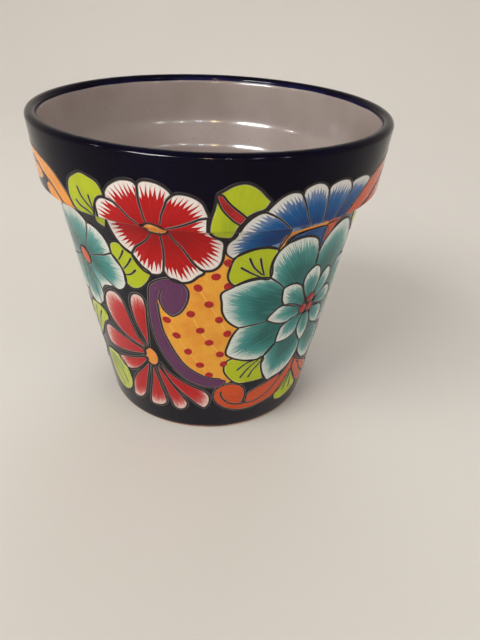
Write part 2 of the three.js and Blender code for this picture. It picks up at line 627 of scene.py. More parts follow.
def swollen(line: np.ndarray, by: float, closed: bool = True, fade: float = 2.5) -> np.ndarray:
    """A line moved out by a distance, away from what it goes round. An open line's ends stay in place."""
    out = aside(line, -by if is_clockwise(line) else by, closed)
    if closed:
        return out
    run = run_along(line)
    near = smooth_step(np.minimum(run, run[-1] - run) / fade)[:, None]
    return line + (out - line) * near


def edge_distance(points: np.ndarray, loop: np.ndarray) -> np.ndarray:
    """The distance from each point to the nearest side of a closed loop."""
    side = np.roll(loop, -1, axis=0) - loop
    to_point = points[:, None] - loop[None]
    share = np.einsum("nkj,kj->nk", to_point, side) / np.einsum("kj,kj->k", side, side)
    nearest = to_point - np.clip(share, 0.0, 1.0)[..., None] * side
    return np.sqrt(np.einsum("nkj,nkj->nk", nearest, nearest).min(axis=1))


def reach_beyond(points: np.ndarray, root: np.ndarray, loop: np.ndarray) -> tuple[np.ndarray, np.ndarray]:
    """How far each point lies from the loop's far side, along the ray from the root, and the ray's angle."""
    ray = points - root
    distance = np.maximum(np.hypot(*ray.T), TINY)
    ray = ray / distance[:, None]
    start = loop - root
    end = np.roll(start, -1, axis=0)
    c0 = cross(ray[:, None], start[None])
    c1 = cross(ray[:, None], end[None])
    share = c0 / np.where(np.abs(c0 - c1) < PARALLEL, PARALLEL, c0 - c1)
    hit = start[None] + share[..., None] * (end - start)[None]
    far = np.einsum("nkj,nj->nk", hit, ray)
    far = np.where((c0 * c1 <= 0.0) & (far > 0.0), far, 0.0).max(axis=1)
    return np.maximum(far - distance, 0.0), np.arctan2(ray[:, 1], ray[:, 0])


def clearest_point(loop: np.ndarray) -> np.ndarray:
    """The point that sees the whole loop best: the one with the largest least distance inside its sides."""
    side = unit(np.roll(loop, -1, axis=0) - loop)
    turned = 1.0 if is_clockwise(loop) else -1.0
    low, high = loop.min(axis=0), loop.max(axis=0)
    grid = np.stack(np.meshgrid(*np.linspace(low, high, GRID).T), axis=-1).reshape(-1, 2)
    inside = turned * cross(side[None], grid[:, None] - loop[None])
    return grid[inside.min(axis=1).argmax()]


@dataclass(frozen=True)
class Coating:
    """How thick a painted area is: at its edge, how much more inside, and over what distance, in mm."""

    base: float = 0.1
    rise: float = 0.09
    width: float = 2.6

    def lift(self, edge: np.ndarray) -> np.ndarray:
        """Height over the skin at a distance from the edge."""
        return self.base + self.rise * smooth_step(edge / self.width)


ENAMEL = Coating()
GROUND = Coating(0.02, 0.05, 2.0)
OVERPAINT = replace(ENAMEL, base=ENAMEL.base + LEVEL)
DROP_OF_ENAMEL = Coating(0.1, 0.55, 3.0)


@dataclass
class Brush:
    """Lays painted areas, bands and strokes on the pot, turned by a bearing."""

    surface: Surface
    turn: float

    def on_pot(self, flat: np.ndarray, squeeze: np.ndarray | float, lift: np.ndarray) -> np.ndarray:
        """Points of the flat drawing, in real mm, on the pot's skin."""
        bearing = flat[..., 0] / (squeeze * CHART_RADIUS) + self.turn
        return self.surface.place(bearing, self.surface.run_of(flat[..., 1]), lift)

    def squeeze(self, drop: np.ndarray | float) -> np.ndarray:
        """Real width over width on the chart."""
        return self.surface.radius_at(drop) / CHART_RADIUS

    @staticmethod
    def is_fine(line: np.ndarray) -> bool:
        """Whether a drawing reaches the ledge, where the skin bends sharply."""
        return line[:, 1].min() < LEDGE_DROPS[1] and line[:, 1].max() > LEDGE_DROPS[0]

    def area(self, outline: np.ndarray, root: Point, coating: Coating, tone: float) -> Patch:
        """A painted area inside a closed outline.

        Its points lie on rings that shrink from the outline to its clearest point, closer together at the
        edge. Each carries its distance to the edge, its distance to the tip along the ray from the root,
        its place across the brush strokes, which fan out from the root, and how far out it lies.

        Args:
            outline: The outline on the chart.
            root: Bearing and drop where the brush strokes start.
            coating: The area's thickness.
            tone: A number from 0 to 1 that tells this area from the others.

        Returns:
            The closed patch.
        """
        squeeze = float(self.squeeze(outline[:, 1].mean()))
        fine = self.is_fine(outline)
        cell = FINE_CELL if fine else CELL
        loop = respaced(outline * (squeeze, 1.0), cell, closed=True, least=LEAST_ROUND)
        heart = clearest_point(loop)
        spokes = loop - heart
        rings = max(LEAST_RINGS, math.ceil(np.hypot(*spokes.T).max() / cell))
        crowding = FINE_CROWDING if fine else CROWDING
        share = 1.0 - (1.0 - np.arange(1, rings + 1) / rings) ** crowding
        top = heart + spokes * share[:, None, None]
        under = top[::-1] if fine else top[-1:]
        flat = np.concatenate((top, under))
        points = flat.reshape(-1, 2)
        edge = edge_distance(points, loop)
        stroke_root = chart([root])[0] * (squeeze, 1.0)
        run, angle = reach_beyond(points, stroke_root, loop)
        far = float(np.hypot(*(loop - stroke_root).T).max())
        facing = math.atan2(*(heart - stroke_root)[::-1])
        lift = coating.lift(edge).reshape(flat.shape[:2])
        lift[rings:] = -SUNK
        outward = np.hypot(*(points - stroke_root).T) / far
        values = {
            "edge": edge.reshape(lift.shape),
            "run": run.reshape(lift.shape),
            "grain": (wrapped(angle - facing) * far).reshape(lift.shape),
            "outward": outward.reshape(lift.shape),
            "tone": np.full(lift.shape, tone),
        }
        return loft(self.on_pot(flat, squeeze, lift), values, wraps=False)

    def band(self, rails: tuple[Points, Points], coating: Coating, tone: float) -> Patch:
        """A painted band between two rails that run the same way.

        Each cross-section is straight from rail to rail. The brush strokes run along the band.

        Args:
            rails: Bearings and drops of the two rails.
            coating: The band's thickness.
            tone: A number from 0 to 1 that tells this band from the others.

        Returns:
            The closed patch.
        """
        lines = [smooth_line(rail) for rail in rails]
        both = np.vstack(lines)
        squeeze = float(self.squeeze(both[:, 1].mean()))
        fine = self.is_fine(both)
        cell = FINE_CELL if fine else CELL
        scaled = [line * (squeeze, 1.0) for line in lines]
        longest = max(np.hypot(*np.diff(line, axis=0).T).sum() for line in scaled)
        stations = math.ceil(longest / cell)
        left, right = (respaced(line, longest, False, stations) for line in scaled)
        width = np.hypot(*(right - left).T)
        steps = max(LEAST_FINE_BAND_STEPS, math.ceil(width.max() / cell)) if fine else BAND_STEPS
        crowd = 0.5 - 0.5 * np.cos(np.linspace(0.0, math.pi, steps + 1))
        top = left[:, None] + (right - left)[:, None] * crowd[:, None]
        under = top[:, ::-1] if fine else top[:, [-1, 0]]
        flat = np.concatenate((top, under), axis=1)
        across = np.concatenate((crowd, crowd[::-1] if fine else (1.0, 0.0)))
        edge = width[:, None] * np.minimum(across, 1.0 - across)
        along = run_along((left + right) / 2.0)
        lift = coating.lift(edge)
        lift[:, steps + 1:] = -SUNK
        values = {
            "edge": edge,
            "run": np.repeat(along[:, None], len(across), axis=1),
            "grain": width.mean() * np.repeat(across[None] - 0.5, len(left), axis=0),
            "tone": np.full(edge.shape, tone),
        }
        return loft(self.on_pot(flat, squeeze, lift), values, wraps=False)

    def stroke(
        self,
        line: np.ndarray,
        style: "StrokeStyle",
        closed: bool,
        edge_highlight: tuple[float, float],
        level: float,
    ) -> Patch:
        """A raised stroke of dark pigment along a line.

        Its section is an arch, 1 - a^2 across, on a low step, and its ends are round. It is level with or
        higher than any stroke that it crosses only at its middle, so crossings merge.

        Args:
            line: The line on the chart.
            style: The stroke's width and taper.
            closed: Whether the line closes on itself.
            edge_highlight: How strong the painted highlight, a pale edge, is on the left and on the right of
                the way along the line.
            level: Extra height in mm.

        Returns:
            The closed patch.
        """
        squeeze = self.squeeze(line[:, 1].mean())
        cell = FINE_CELL if self.is_fine(line) else style.step
        middle = respaced(line * (squeeze, 1.0), cell, closed)
        ahead = np.roll(middle, -1, axis=0) - np.roll(middle, 1, axis=0)
        if not closed:
            ahead[0], ahead[-1] = middle[1] - middle[0], middle[-1] - middle[-2]
        way = unit(ahead)
        sideways = np.stack((-way[:, 1], way[:, 0]), axis=-1)
        along = run_along(middle)
        width = style.widths(along) if not closed else np.full(len(along), style.half_width)
        fullness = np.where(closed, 1.0, LOW_END + (1.0 - LOW_END) * width / style.half_width)
        across = np.array(STROKE_SECTION)
        flat = middle[:, None] + sideways[:, None] * (width[:, None] * across)[..., None]
        lift = np.repeat((style.step_height + style.crown * (1.0 - across**2))[None], len(middle), 0)
        lift = lift * fullness[:, None] + level
        lift[:, -2:] = -SUNK
        strength = np.where(across > 0.0, edge_highlight[0], edge_highlight[1])
        shape = lift.shape
        values = {
            "across": np.broadcast_to(across, shape),
            "run": np.broadcast_to(along[:, None], shape),
            "edge_highlight": np.broadcast_to(strength, shape),
        }
        return loft(self.on_pot(flat, squeeze, lift), values, wraps=closed)


@dataclass(frozen=True)
class StrokeStyle:
    """A stroke's half width, painted highlights along its edges included, and how it narrows to its start and
    end, in mm.

    Round an area, outer_edge_highlight is how strong its painted highlight is on the side away from the
    enamel.
    """

    half_width: float = 1.0
    start: float = 1.0
    end: float = 1.0
    step_height: float = 0.2
    crown: float = 0.12
    step: float = 1.4
    outer_edge_highlight: float = 0.0

    @property
    def shift(self) -> float:
        """How far outside an enamel's edge the middle of its line lies."""
        return OUTSIDE_SHARE * self.half_width

    def tapered(self, start: float, end: float) -> "StrokeStyle":
        """The same stroke with another narrowing."""
        return replace(self, start=start, end=end)

    def widths(self, along: np.ndarray) -> np.ndarray:
        """Half width along an open stroke: an even taper, with half-round ends."""
        share = along / along[-1]
        even = self.half_width * (self.start + (self.end - self.start) * share)
        to_end = np.minimum(along, along[-1] - along)
        inside = np.clip(1.0 - to_end / np.maximum(even, TINY), 0.0, 1.0)
        return even * np.sqrt(np.maximum(1.0 - inside**2, BLUNTNESS))


OUTLINE = StrokeStyle()
BOLD = StrokeStyle(half_width=1.25)
# A stroke with a painted highlight on its outer edge as well
OUTER_HIGHLIGHTED = StrokeStyle(half_width=1.25, outer_edge_highlight=0.6)
FINE = StrokeStyle(half_width=0.8)
VEIN = StrokeStyle(half_width=1.15, start=0.7, step=1.2)
FINE_VEIN = StrokeStyle(half_width=0.8, start=0.8, step=1.2)
HAIR = StrokeStyle(half_width=0.5, start=0.8, end=0.8, step_height=0.09, crown=0.03)
# How strong the painted highlight along a stroke's edge is on the enamel's side
INSIDE_EDGE_HIGHLIGHT = 0.85

# How far a petal's cleft runs past its tip, in half widths, and how it narrows towards the heart
CLEFT_OVERSHOOT = 1.6
CLEFT_TAPER = (0.6, 1.0)

BERRY_POINTS = 14
BERRY_UNEVENNESS = 0.05
BERRY_TURN = 1.9
GOLDEN_SHARE = 0.618034


# The painting's motifs


class Paint(Enum):
    """The colours on the painter's table."""

    RED = "red"
    SOFT_RED = "soft_red"
    TEAL = "teal"
    BLUE = "blue"
    DEEP_BLUE = "deep_blue"
    LAVENDER = "lavender"
    LIME = "lime"
    PALE_LIME = "pale_lime"
    AMBER = "amber"
    GROUND = "ground"
    ORANGE = "orange"
    PURPLE = "purple"
    BERRY = "berry"
    PALE_LINE = "pale_line"
    LINE = "line"


@dataclass
class Canvas:
    """One side of the pot while it is painted: patches gathered by piece and paint."""

    name: str
    brush: Brush
    swaps: dict[Paint, Paint] = field(default_factory=dict)
    patches: dict[str, list[Patch]] = field(default_factory=dict)
    paints: dict[str, Paint] = field(default_factory=dict)
    count: int = 0

    def keep(self, part: str, paint: Paint, patch: Patch) -> None:
        """Adds a patch to the part's piece."""
        self.paints[part] = self.swaps.get(paint, paint)
        self.patches.setdefault(part, []).append(patch)

    def next_tone(self) -> float:
        """A number from 0 to 1 for each new area, spread evenly by the golden ratio."""
        self.count += 1
        return (GOLDEN_SHARE * self.count) % 1.0

    def area(
        self, part: str, paint: Paint, outline: np.ndarray, root: Point, coating: Coating = ENAMEL
    ) -> None:
        """Paints a closed area."""
        self.keep(part, paint, self.brush.area(outline, root, coating, self.next_tone()))

    def band(self, part: str, paint: Paint, rails: tuple[Points, Points]) -> None:
        """Paints a band between two rails."""
        self.keep(part, paint, self.brush.band(rails, ENAMEL, self.next_tone()))

    def border(
        self, part: str, line: np.ndarray, style: StrokeStyle, closed: bool = True, level: float = 0.0
    ) -> None:
        """Draws the line round an area or round a petal's end, with a painted highlight along its inner edge.
        """
        edge_highlight = (INSIDE_EDGE_HIGHLIGHT, style.outer_edge_highlight)
        edge_highlight = edge_highlight if is_clockwise(line) else edge_highlight[::-1]
        self.keep(part, Paint.LINE, self.brush.stroke(line, style, closed, edge_highlight, level))

    def line(
        self, part: str, line: np.ndarray, style: StrokeStyle, paint: Paint = Paint.LINE, level: float = 0.0
    ) -> None:
        """Draws an open line with a painted highlight along both edges."""
        edge_highlight = (INSIDE_EDGE_HIGHLIGHT, INSIDE_EDGE_HIGHLIGHT)
        self.keep(part, paint, self.brush.stroke(line, style, False, edge_highlight, level))

    def build(self, materials: dict[Paint, bpy.types.Material]) -> None:
        """Makes one piece of each part's patches."""
        for part, patches in self.patches.items():
            paint = self.paints[part]
            piece = make_piece(f"{self.name}_{part}", joined(patches), materials[paint])
            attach(piece, "root")
            report(piece)


@dataclass(frozen=True)
class Bloom:
    """A flower whose neighbouring petals share a cleft.

    Each cleft runs outwards from the heart. Lobe i goes round the petal's end from the tip of cleft i to
    the tip of cleft i + 1. With one lobe fewer than clefts the flower is an open fan.
    """

    name: str
    paint: Paint
    root: Point
    clefts: tuple[Points, ...]
    lobes: tuple[Points, ...]
    heart: Points = ()
    heart_paint: Paint = Paint.AMBER
    style: StrokeStyle = OUTLINE

    def draw(self, canvas: Canvas) -> None:
        """Paints the petals, the lines between and round them, and the heart."""
        lines = f"{self.name}_lines"
        for i, lobe in enumerate(self.lobes):
            first, second = self.clefts[i], self.clefts[(i + 1) % len(self.clefts)]
            end = swollen(smooth_line((first[-1], *lobe, second[-1])), self.style.shift, closed=False)
            outline = np.vstack((smooth_line(first)[:-1], end, smooth_line(second)[::-1][1:]))
            canvas.area(f"{self.name}_petals", self.paint, outline, self.root)
            canvas.border(lines, end, self.style, closed=False)
        for cleft in self.clefts:
            spoke = smooth_line(cleft)
            ahead = spoke[-1] - spoke[-2]
            tip = spoke[-1] + ahead / np.hypot(*ahead) * (CLEFT_OVERSHOOT * self.style.half_width)
            canvas.line(lines, np.vstack((spoke, tip)), self.style.tapered(*CLEFT_TAPER))
        if self.heart:
            outline = swollen(smooth_line(self.heart, closed=True), FINE.shift)
            canvas.area(f"{self.name}_heart", self.heart_paint, outline, self.root)
            canvas.border(lines, outline, FINE)


@dataclass(frozen=True)
class Spray:
    """Petals, leaves or buds that each have a whole outline of their own."""

    name: str
    paint: Paint
    root: Point
    outlines: tuple[Points, ...]
    veins: tuple[Points, ...] = ()
    coating: Coating = ENAMEL
    level: float = 0.0
    style: StrokeStyle = OUTLINE
    vein: StrokeStyle = VEIN

    def draw(self, canvas: Canvas) -> None:
        """Paints each outline's inside, its line and the veins over it."""
        for points in self.outlines:
            outline = swollen(smooth_line(points, closed=True), self.style.shift)
            canvas.area(f"{self.name}_enamel", self.paint, outline, self.root, self.coating)
            canvas.border(f"{self.name}_lines", outline, self.style, level=self.level)
        for points in self.veins:
            canvas.line(f"{self.name}_lines", smooth_line(points), self.vein, level=self.level)


@dataclass(frozen=True)
class Scroll:
    """Curling bands and areas of one colour, with their lines given one by one.

    A border lies just to the right of its points, as seen from outside along its way, because the points
    are the enamel's edge. An inner line lies on its points.
    """

    name: str
    paint: Paint
    bands: tuple[tuple[Points, Points], ...] = ()
    areas: tuple[Points, ...] = ()
    borders: tuple[Points, ...] = ()
    inner_lines: tuple[Points, ...] = ()
    style: StrokeStyle = FINE

    def draw(self, canvas: Canvas) -> None:
        """Paints the bands and areas, then the lines."""
        for rails in self.bands:
            canvas.band(f"{self.name}_enamel", self.paint, rails)
        for points in self.areas:
            canvas.area(f"{self.name}_enamel", self.paint, smooth_line(points, closed=True), points[0])
        for points in self.borders:
            canvas.line(f"{self.name}_lines", aside(smooth_line(points), self.style.shift), self.style)
        for points in self.inner_lines:
            canvas.line(f"{self.name}_lines", smooth_line(points), self.style)


@dataclass(frozen=True)
class Berries:
    """Round raised drops of enamel."""

    name: str
    places: Points
    radius: float

    def draw(self, canvas: Canvas) -> None:
        """Sets each drop as a small round area, thick in the middle."""
        turn = once_round(BERRY_POINTS)
        for i, place in enumerate(self.places):
            centre = chart([place])[0]
            reach = self.radius * (1.0 + BERRY_UNEVENNESS * np.sin(2.0 * turn + BERRY_TURN * i))
            squeeze = float(canvas.brush.squeeze(centre[1]))
            wide = np.stack((np.cos(turn) / squeeze, np.sin(turn)), axis=-1)
            outline = centre + reach[:, None] * wide
            canvas.area(self.name, Paint.BERRY, outline, place, DROP_OF_ENAMEL)


@dataclass(frozen=True)
class Ground:
    """A plain painted ground under berries, with pale brushed lines across it."""

    name: str
    outline: Points
    root: Point
    hairs: tuple[Points, ...]

    def draw(self, canvas: Canvas) -> None:
        """Paints the ground and its lines."""
        outline = smooth_line(self.outline, closed=True)
        canvas.area(self.name, Paint.GROUND, outline, self.root, GROUND)
        for hair in self.hairs:
            canvas.line(f"{self.name}_hairs", smooth_line(hair), HAIR, Paint.PALE_LINE)


def rosette(name: str, paint: Paint, centre: Point, petals: int, radii: Point, squeeze: float) -> Bloom:
    """A round flower: clefts on even rays from the heart's radius, and lobes that bulge past them.

    Args:
        name: The flower's name.
        paint: Its petals' colour.
        centre: Bearing and drop of its middle.
        petals: How many petals it has.
        radii: The heart's and the tips' radius in mm.
        squeeze: Real width over width on the chart at the flower.

    Returns:
        The flower.
    """
    heart, tip = radii

    def polar(radius: float, angle: float) -> Point:
        """The place at a radius and angle from the flower's middle."""
        wide = radius * math.cos(angle) / (squeeze * CHART_MM_PER_DEGREE)
        return (centre[0] + wide, centre[1] + radius * math.sin(angle))

    step = FULL_TURN / petals
    bulge = ((0.08, 0.93), (0.26, 0.99), (0.5, 1.0), (0.74, 0.98), (0.92, 0.92))
    spoke = ((heart, 0.0), (0.5 * tip, 0.05), (0.86 * tip, 0.0))
    clefts = tuple(
        tuple(polar(radius, i * step + sway) for radius, sway in spoke) for i in range(petals)
    )
    lobes = tuple(
        tuple(polar(tip * share, (i + part) * step) for part, share in bulge) for i in range(petals)
    )
    ring = tuple(polar(1.15 * heart, a * math.pi / 4.0) for a in range(8))
    return Bloom(name, paint, centre, clefts, lobes, ring)


RIM_FLOWER = Bloom(
    "rim_flower", Paint.RED, (-15.6, 63.0),
    clefts=(
        ((-17.6, 53), (-18.4, 45), (-19, 37), (-19.1, 26.8)),
        ((-13.6, 53.4), (-13, 45.5), (-12, 39), (-11.2, 34), (-9.9, 30.6)),
        ((-12.4, 56), (-9, 53.3), (-5, 49.2), (-2.4, 46.2), (-0.3, 45.6)),
        ((-12.6, 62), (-6, 63), (-0.3, 63)),
        ((-12.9, 70.6), (-11.6, 75.6), (-9, 82), (-7, 89), (-5, 96), (-3, 100.5)),
        ((-15.5, 71.5), (-15, 80), (-14.8, 90), (-15.4, 104.5)),
        ((-18.4, 71.6), (-19.2, 76.6), (-21, 81.5), (-24.5, 88), (-26.3, 94.5)),
        ((-19, 64), (-27, 65), (-34.3, 65)),
        ((-19.6, 55), (-22.5, 50.5), (-25, 44.5), (-27, 41), (-29.2, 39.5)),
    ),
    lobes=(
        ((-18.5, 24.2), (-17.6, 22.8), (-15.5, 22.4), (-12.5, 24.6), (-10.6, 28.3)),
        ((-8.3, 29.6), (-4.5, 31.2), (-2.2, 35.2), (-1.1, 41)),
        ((-0.3, 50), (-0.3, 57)),
        ((-0.1, 70), (1.5, 73.5), (3.1, 75), (4, 77), (4.25, 79.5), (4.1, 84.5), (3.9, 91), (2.9, 97),
         (0.9, 100.5), (-1.2, 101.2)),
        ((-2, 103), (-4, 107), (-6.5, 112), (-10.5, 113.3), (-13.6, 110)),
        ((-16.5, 108), (-19, 109.5), (-22, 108), (-24.8, 101.5)),
        ((-29, 91), (-31.6, 84), (-33.2, 77), (-34.1, 70)),
        ((-34.2, 60), (-33.6, 52), (-33, 46), (-31.6, 41.3)),
        ((-29, 35), (-28, 31), (-26, 27), (-23, 23.8), (-20.2, 24.3)),
    ),
    heart=((-18.2, 55.4), (-17.4, 53.7), (-16.2, 53.3), (-15, 54), (-13.7, 55.3), (-12.7, 57), (-12.6, 62),
           (-12.9, 68), (-13.3, 71), (-14.3, 72.2), (-16, 72.6), (-17.8, 72.2), (-19.2, 71.6),
           (-19.9, 69.6), (-19.5, 64), (-18.6, 58.6)),
    style=BOLD,
)

RIM_LEAF = Spray(
    "rim_leaf", Paint.LIME, (-34.0, 72.0),
    outlines=(
        ((-42.6, 34), (-40, 28.7), (-37, 25.5), (-34, 27), (-31.4, 30), (-30.2, 35), (-29.8, 38),
         (-29.8, 38), (-31.8, 39.8), (-33.6, 46), (-33.4, 54), (-33.8, 62), (-34.6, 70), (-35.6, 77.5),
         (-35.6, 77.5), (-39, 74.5), (-39.4, 66), (-40.3, 58), (-42.3, 52.5), (-43.5, 46), (-43.4, 40)),
    ),
    veins=(
        ((-33.8, 56), (-34.3, 52.5), (-36.5, 47.5), (-38.3, 42.5), (-39.3, 36)),
        ((-34.3, 51), (-35, 44.5), (-35.3, 40)),
        ((-34.6, 56.5), (-36.3, 53.5), (-39.2, 51), (-41, 47)),
    ),
    style=BOLD,
)

EDGE_FLOWER = Bloom(
    "edge_flower", Paint.TEAL, (-53.0, 116.0),
    clefts=(
        ((-50.3, 106), (-48.5, 97), (-46.6, 89), (-45.3, 80.5)),
        ((-49, 113), (-46, 109.5), (-40, 105), (-35.8, 100.5)),
        ((-49.3, 119), (-46, 124), (-41, 129.5), (-37.5, 134.3)),
        ((-51, 122.5), (-49.5, 132), (-47, 141), (-46.6, 149)),
        ((-53, 124), (-52.6, 138), (-51.4, 150), (-50.3, 161.5)),
        ((-55.3, 122), (-57.5, 134), (-59.5, 146), (-61.5, 157)),
        ((-57, 118), (-62, 122), (-67, 126), (-71.5, 130)),
        ((-57, 113), (-62, 109), (-66, 105), (-70.5, 101)),
        ((-55.3, 108), (-58, 98), (-61, 89), (-64, 80)),
    ),
    lobes=(
        ((-43.6, 80.3), (-41, 82), (-38, 87), (-36.3, 94)),
        ((-34.2, 104), (-32.5, 110), (-31.3, 117), (-31.5, 125), (-33, 131), (-35.3, 134.3)),
        ((-40, 135.8), (-43.5, 138), (-45.5, 142.5)),
        ((-47.5, 153), (-48.6, 158)),
        ((-52, 164), (-55, 165.5), (-58.5, 164), (-61, 160.5)),
        ((-66, 158.5), (-71, 153), (-74, 143), (-73.5, 134)),
        ((-75.5, 126), (-77.5, 115.5), (-75.5, 105)),
        ((-73.8, 94), (-73.5, 85), (-69, 78.5), (-65.5, 78)),
        ((-61, 75.5), (-55, 73.2), (-50, 74), (-47, 77)),
    ),
    heart=((-53.8, 108.5), (-51.5, 110), (-50, 114.5), (-50, 119.5), (-51.5, 122.3), (-54, 121.5),
           (-55.8, 117), (-55.6, 111.5)),
    heart_paint=Paint.ORANGE,
)

WALL_LEAF = Spray(
    "wall_leaf", Paint.LIME, (-31.0, 106.0),
    outlines=(
        ((-35.3, 97), (-35, 91.5), (-33, 88.5), (-31.5, 88.3), (-29.5, 91.5), (-26.5, 95.8), (-25.3, 99.5),
         (-23.4, 105), (-20.5, 110.5), (-21.5, 116), (-23.5, 122), (-26, 126.5), (-29, 127.5), (-30.8, 125),
         (-31, 117), (-31.7, 111), (-33.3, 106), (-35, 101)),
    ),
    veins=(
        ((-32.9, 105), (-31, 99), (-29.6, 93.2)),
        ((-31.3, 112), (-29, 106), (-26.8, 98.6)),
        ((-30.8, 117), (-28, 114), (-25.8, 108.8)),
    ),
    style=BOLD,
)

LOWER_FLOWER = Spray(
    "lower_flower", Paint.SOFT_RED, (-25.3, 199.5),
    outlines=(
        ((-26.2, 188), (-27.7, 178), (-30.2, 165), (-31.2, 150), (-31, 141), (-29.8, 135.5), (-27.5, 133.3),
         (-25.3, 135.5), (-24.6, 142), (-24.9, 155), (-25.4, 170), (-25.8, 180)),
        ((-28, 190), (-31, 180), (-33.2, 165), (-34.7, 152), (-36.2, 143), (-38.5, 139.8), (-41.5, 140.3),
         (-44.3, 145), (-46.2, 153), (-46.5, 160), (-45, 170), (-41, 179), (-35, 185.8), (-31, 189)),
        ((-28.5, 197), (-30, 193.3), (-34, 190.3), (-40, 187), (-46, 184.5), (-50.3, 184.3), (-53, 189),
         (-54, 197), (-53, 205.5), (-50, 207), (-44, 205.5), (-38, 203), (-32, 199.5)),
        ((-28, 202.5), (-34, 207), (-40, 211.5), (-46, 215.5), (-47.5, 218), (-42.3, 226.3), (-37, 222.8),
         (-32, 214.5)),
        ((-27.6, 208.5), (-31, 216.5), (-36, 228), (-40, 240), (-41.6, 252), (-42, 259.5), (-39, 260.5),
         (-34, 253), (-31.6, 240), (-29.6, 225), (-28, 214)),
        ((-25.6, 211), (-26.8, 225), (-28.5, 240), (-30, 252), (-30.2, 259.8), (-27, 260.8), (-23, 258),
         (-21.2, 254), (-21.4, 247), (-22.9, 235), (-24.2, 222)),
        ((-23.2, 208.5), (-22.4, 222), (-20.6, 235), (-18.5, 248), (-16.5, 258), (-14, 259.5), (-11, 256),
         (-10.2, 250.5), (-12.3, 243), (-17, 229), (-20.9, 215)),
        ((-21.6, 204.5), (-19, 212.5), (-15, 218.5), (-9, 226), (-5, 230), (-1.5, 233.5), (0.8, 241),
         (0.5, 249), (-1.5, 254.5), (-4, 252), (-8.3, 244), (-14.5, 232), (-19, 218.5)),
    ),
    style=OUTER_HIGHLIGHTED,
)

LOWER_FLOWER_HEART = Spray(
    "lower_flower_heart", Paint.AMBER, (-25.3, 199.5),
    outlines=(((-25.6, 189.3), (-23.3, 193), (-22.3, 199.5), (-23, 205.5), (-25, 208.6), (-27.6, 206),
               (-28.7, 199.5), (-27.8, 193)),),
)

SIDE_LEAF = Spray(
    "side_leaf", Paint.LIME, (-61.0, 200.0),
    outlines=(
        ((-66.5, 178), (-63, 170.5), (-58, 167.5), (-52, 167), (-48.7, 171), (-48.3, 176), (-51.3, 181.5),
         (-55, 189), (-58, 197), (-61, 206), (-61, 206), (-64.5, 200), (-66.8, 190)),
    ),
    veins=(
        ((-60.5, 196), (-57.5, 184), (-53.5, 172.5)),
        ((-62, 194), (-61, 183), (-59, 173)),
    ),
)

FOOT_LEAF = Spray(
    "foot_leaf", Paint.PALE_LIME, (-58.0, 219.0),
    outlines=(
        ((-59.5, 222), (-55, 217.8), (-49, 217.5), (-44.7, 222.5), (-42.3, 233), (-41.8, 244), (-43.5, 253),
         (-47.5, 260), (-52, 262), (-56.5, 259), (-59.5, 250), (-60.5, 238), (-60.3, 228)),
    ),
    veins=(
        ((-56, 223), (-52, 230), (-48.5, 239), (-46, 251)),
        ((-57.5, 230), (-55, 240), (-52, 249), (-49.6, 257)),
        ((-54, 220.5), (-49.5, 226), (-46.2, 234)),
    ),
    vein=FINE_VEIN,
)

BERRY_GROUND = Ground(
    "berry_ground", (
        (-12, 114), (-4, 106), (-1, 101.5), (4, 96), (4.8, 87), (7.5, 88), (8.2, 100), (8.8, 114),
        (11.5, 114), (12, 130), (13, 160), (13.5, 195), (10.5, 222), (0, 220), (-10, 207), (-16, 190),
        (-19.5, 170), (-21, 150), (-20.5, 138), (-17, 128),
    ),
    (-3.0, 160.0),
    hairs=(
        ((-16.2, 153.3), (-12.8, 168.7), (-8.4, 185.5), (-3.5, 200.5), (0.5, 212.5)),
        ((-6.7, 144.3), (-3.2, 161.2), (0.3, 174.2), (4.9, 187.7), (6.9, 199.3)),
        ((-3.8, 118), (0, 133.7), (3.9, 149.5), (7.4, 164.7)),
    ),
)

BERRIES = Berries(
    "berries", (
        (6.1, 94.7), (2.2, 107), (6.5, 116.3), (-3.8, 118), (0, 133.7), (-6.7, 144.3), (3.9, 149.5),
        (-16.2, 153.3), (-3.2, 161.2), (7.4, 164.7), (-12.8, 168.7), (0.3, 174.2), (-8.4, 185.5),
        (4.9, 187.7), (-3.5, 200.5), (6.9, 199.3), (0.5, 212.5),
    ), 3.6,
)

# Edges that several bands, areas and lines of a scroll share
PURPLE_CURL = (
    (-8.5, 135), (-7.5, 127), (-7.5, 121.5), (-8.75, 116.5), (-11.25, 112.5), (-14.5, 112), (-18, 115),
    (-21.25, 121.5),
)
PURPLE_BACK = (
    (-22.25, 132.5), (-23, 143.5), (-23, 156.5), (-22.5, 171), (-20.75, 185.5), (-18.25, 197.5),
    (-14.5, 209.5), (-10, 218.5), (-4.5, 225), (0.75, 227.5), (6.25, 226),
)

PURPLE_SCROLL = Scroll(
    "purple_scroll", Paint.PURPLE,
    bands=((
        ((-21.2, 122), (-21.9, 127), *PURPLE_BACK, (8.6, 222)),
        ((-17.4, 123), (-18.1, 128), (-18.7, 132.5), (-19.25, 141.5), (-19, 154), (-18.25, 166),
         (-16.25, 178), (-13.75, 190), (-10.5, 201), (-6, 209.5), (-0.5, 215.5), (6, 218), (8.2, 219.5)),
    ),),
    areas=((
        (-11, 144), (-13.5, 149), (-13.5, 149), (-15, 147), (-16.75, 143.5), (-17.75, 138.5), (-18.4, 133),
        (-18.6, 129), (-22.1, 129), (-22.1, 129), *PURPLE_CURL[::-1],
    ),),
    borders=(((-14.2, 148.8), (-11, 144), *PURPLE_CURL, *PURPLE_BACK, (8.25, 221)),),
    inner_lines=(
        ((-16.9, 123), (-17.75, 127.5), (-18.25, 133), (-17.75, 138.5), (-16.75, 143.5), (-15, 147),
         (-13.5, 149)),
        ((-19.1, 136.5), (-19.1, 141.5), (-18.8, 154), (-18.05, 166), (-16.05, 178), (-13.5, 190),
         (-10.2, 201), (-5.8, 209), (-0.5, 215), (6, 217.5)),
    ),
    style=OUTLINE,
)

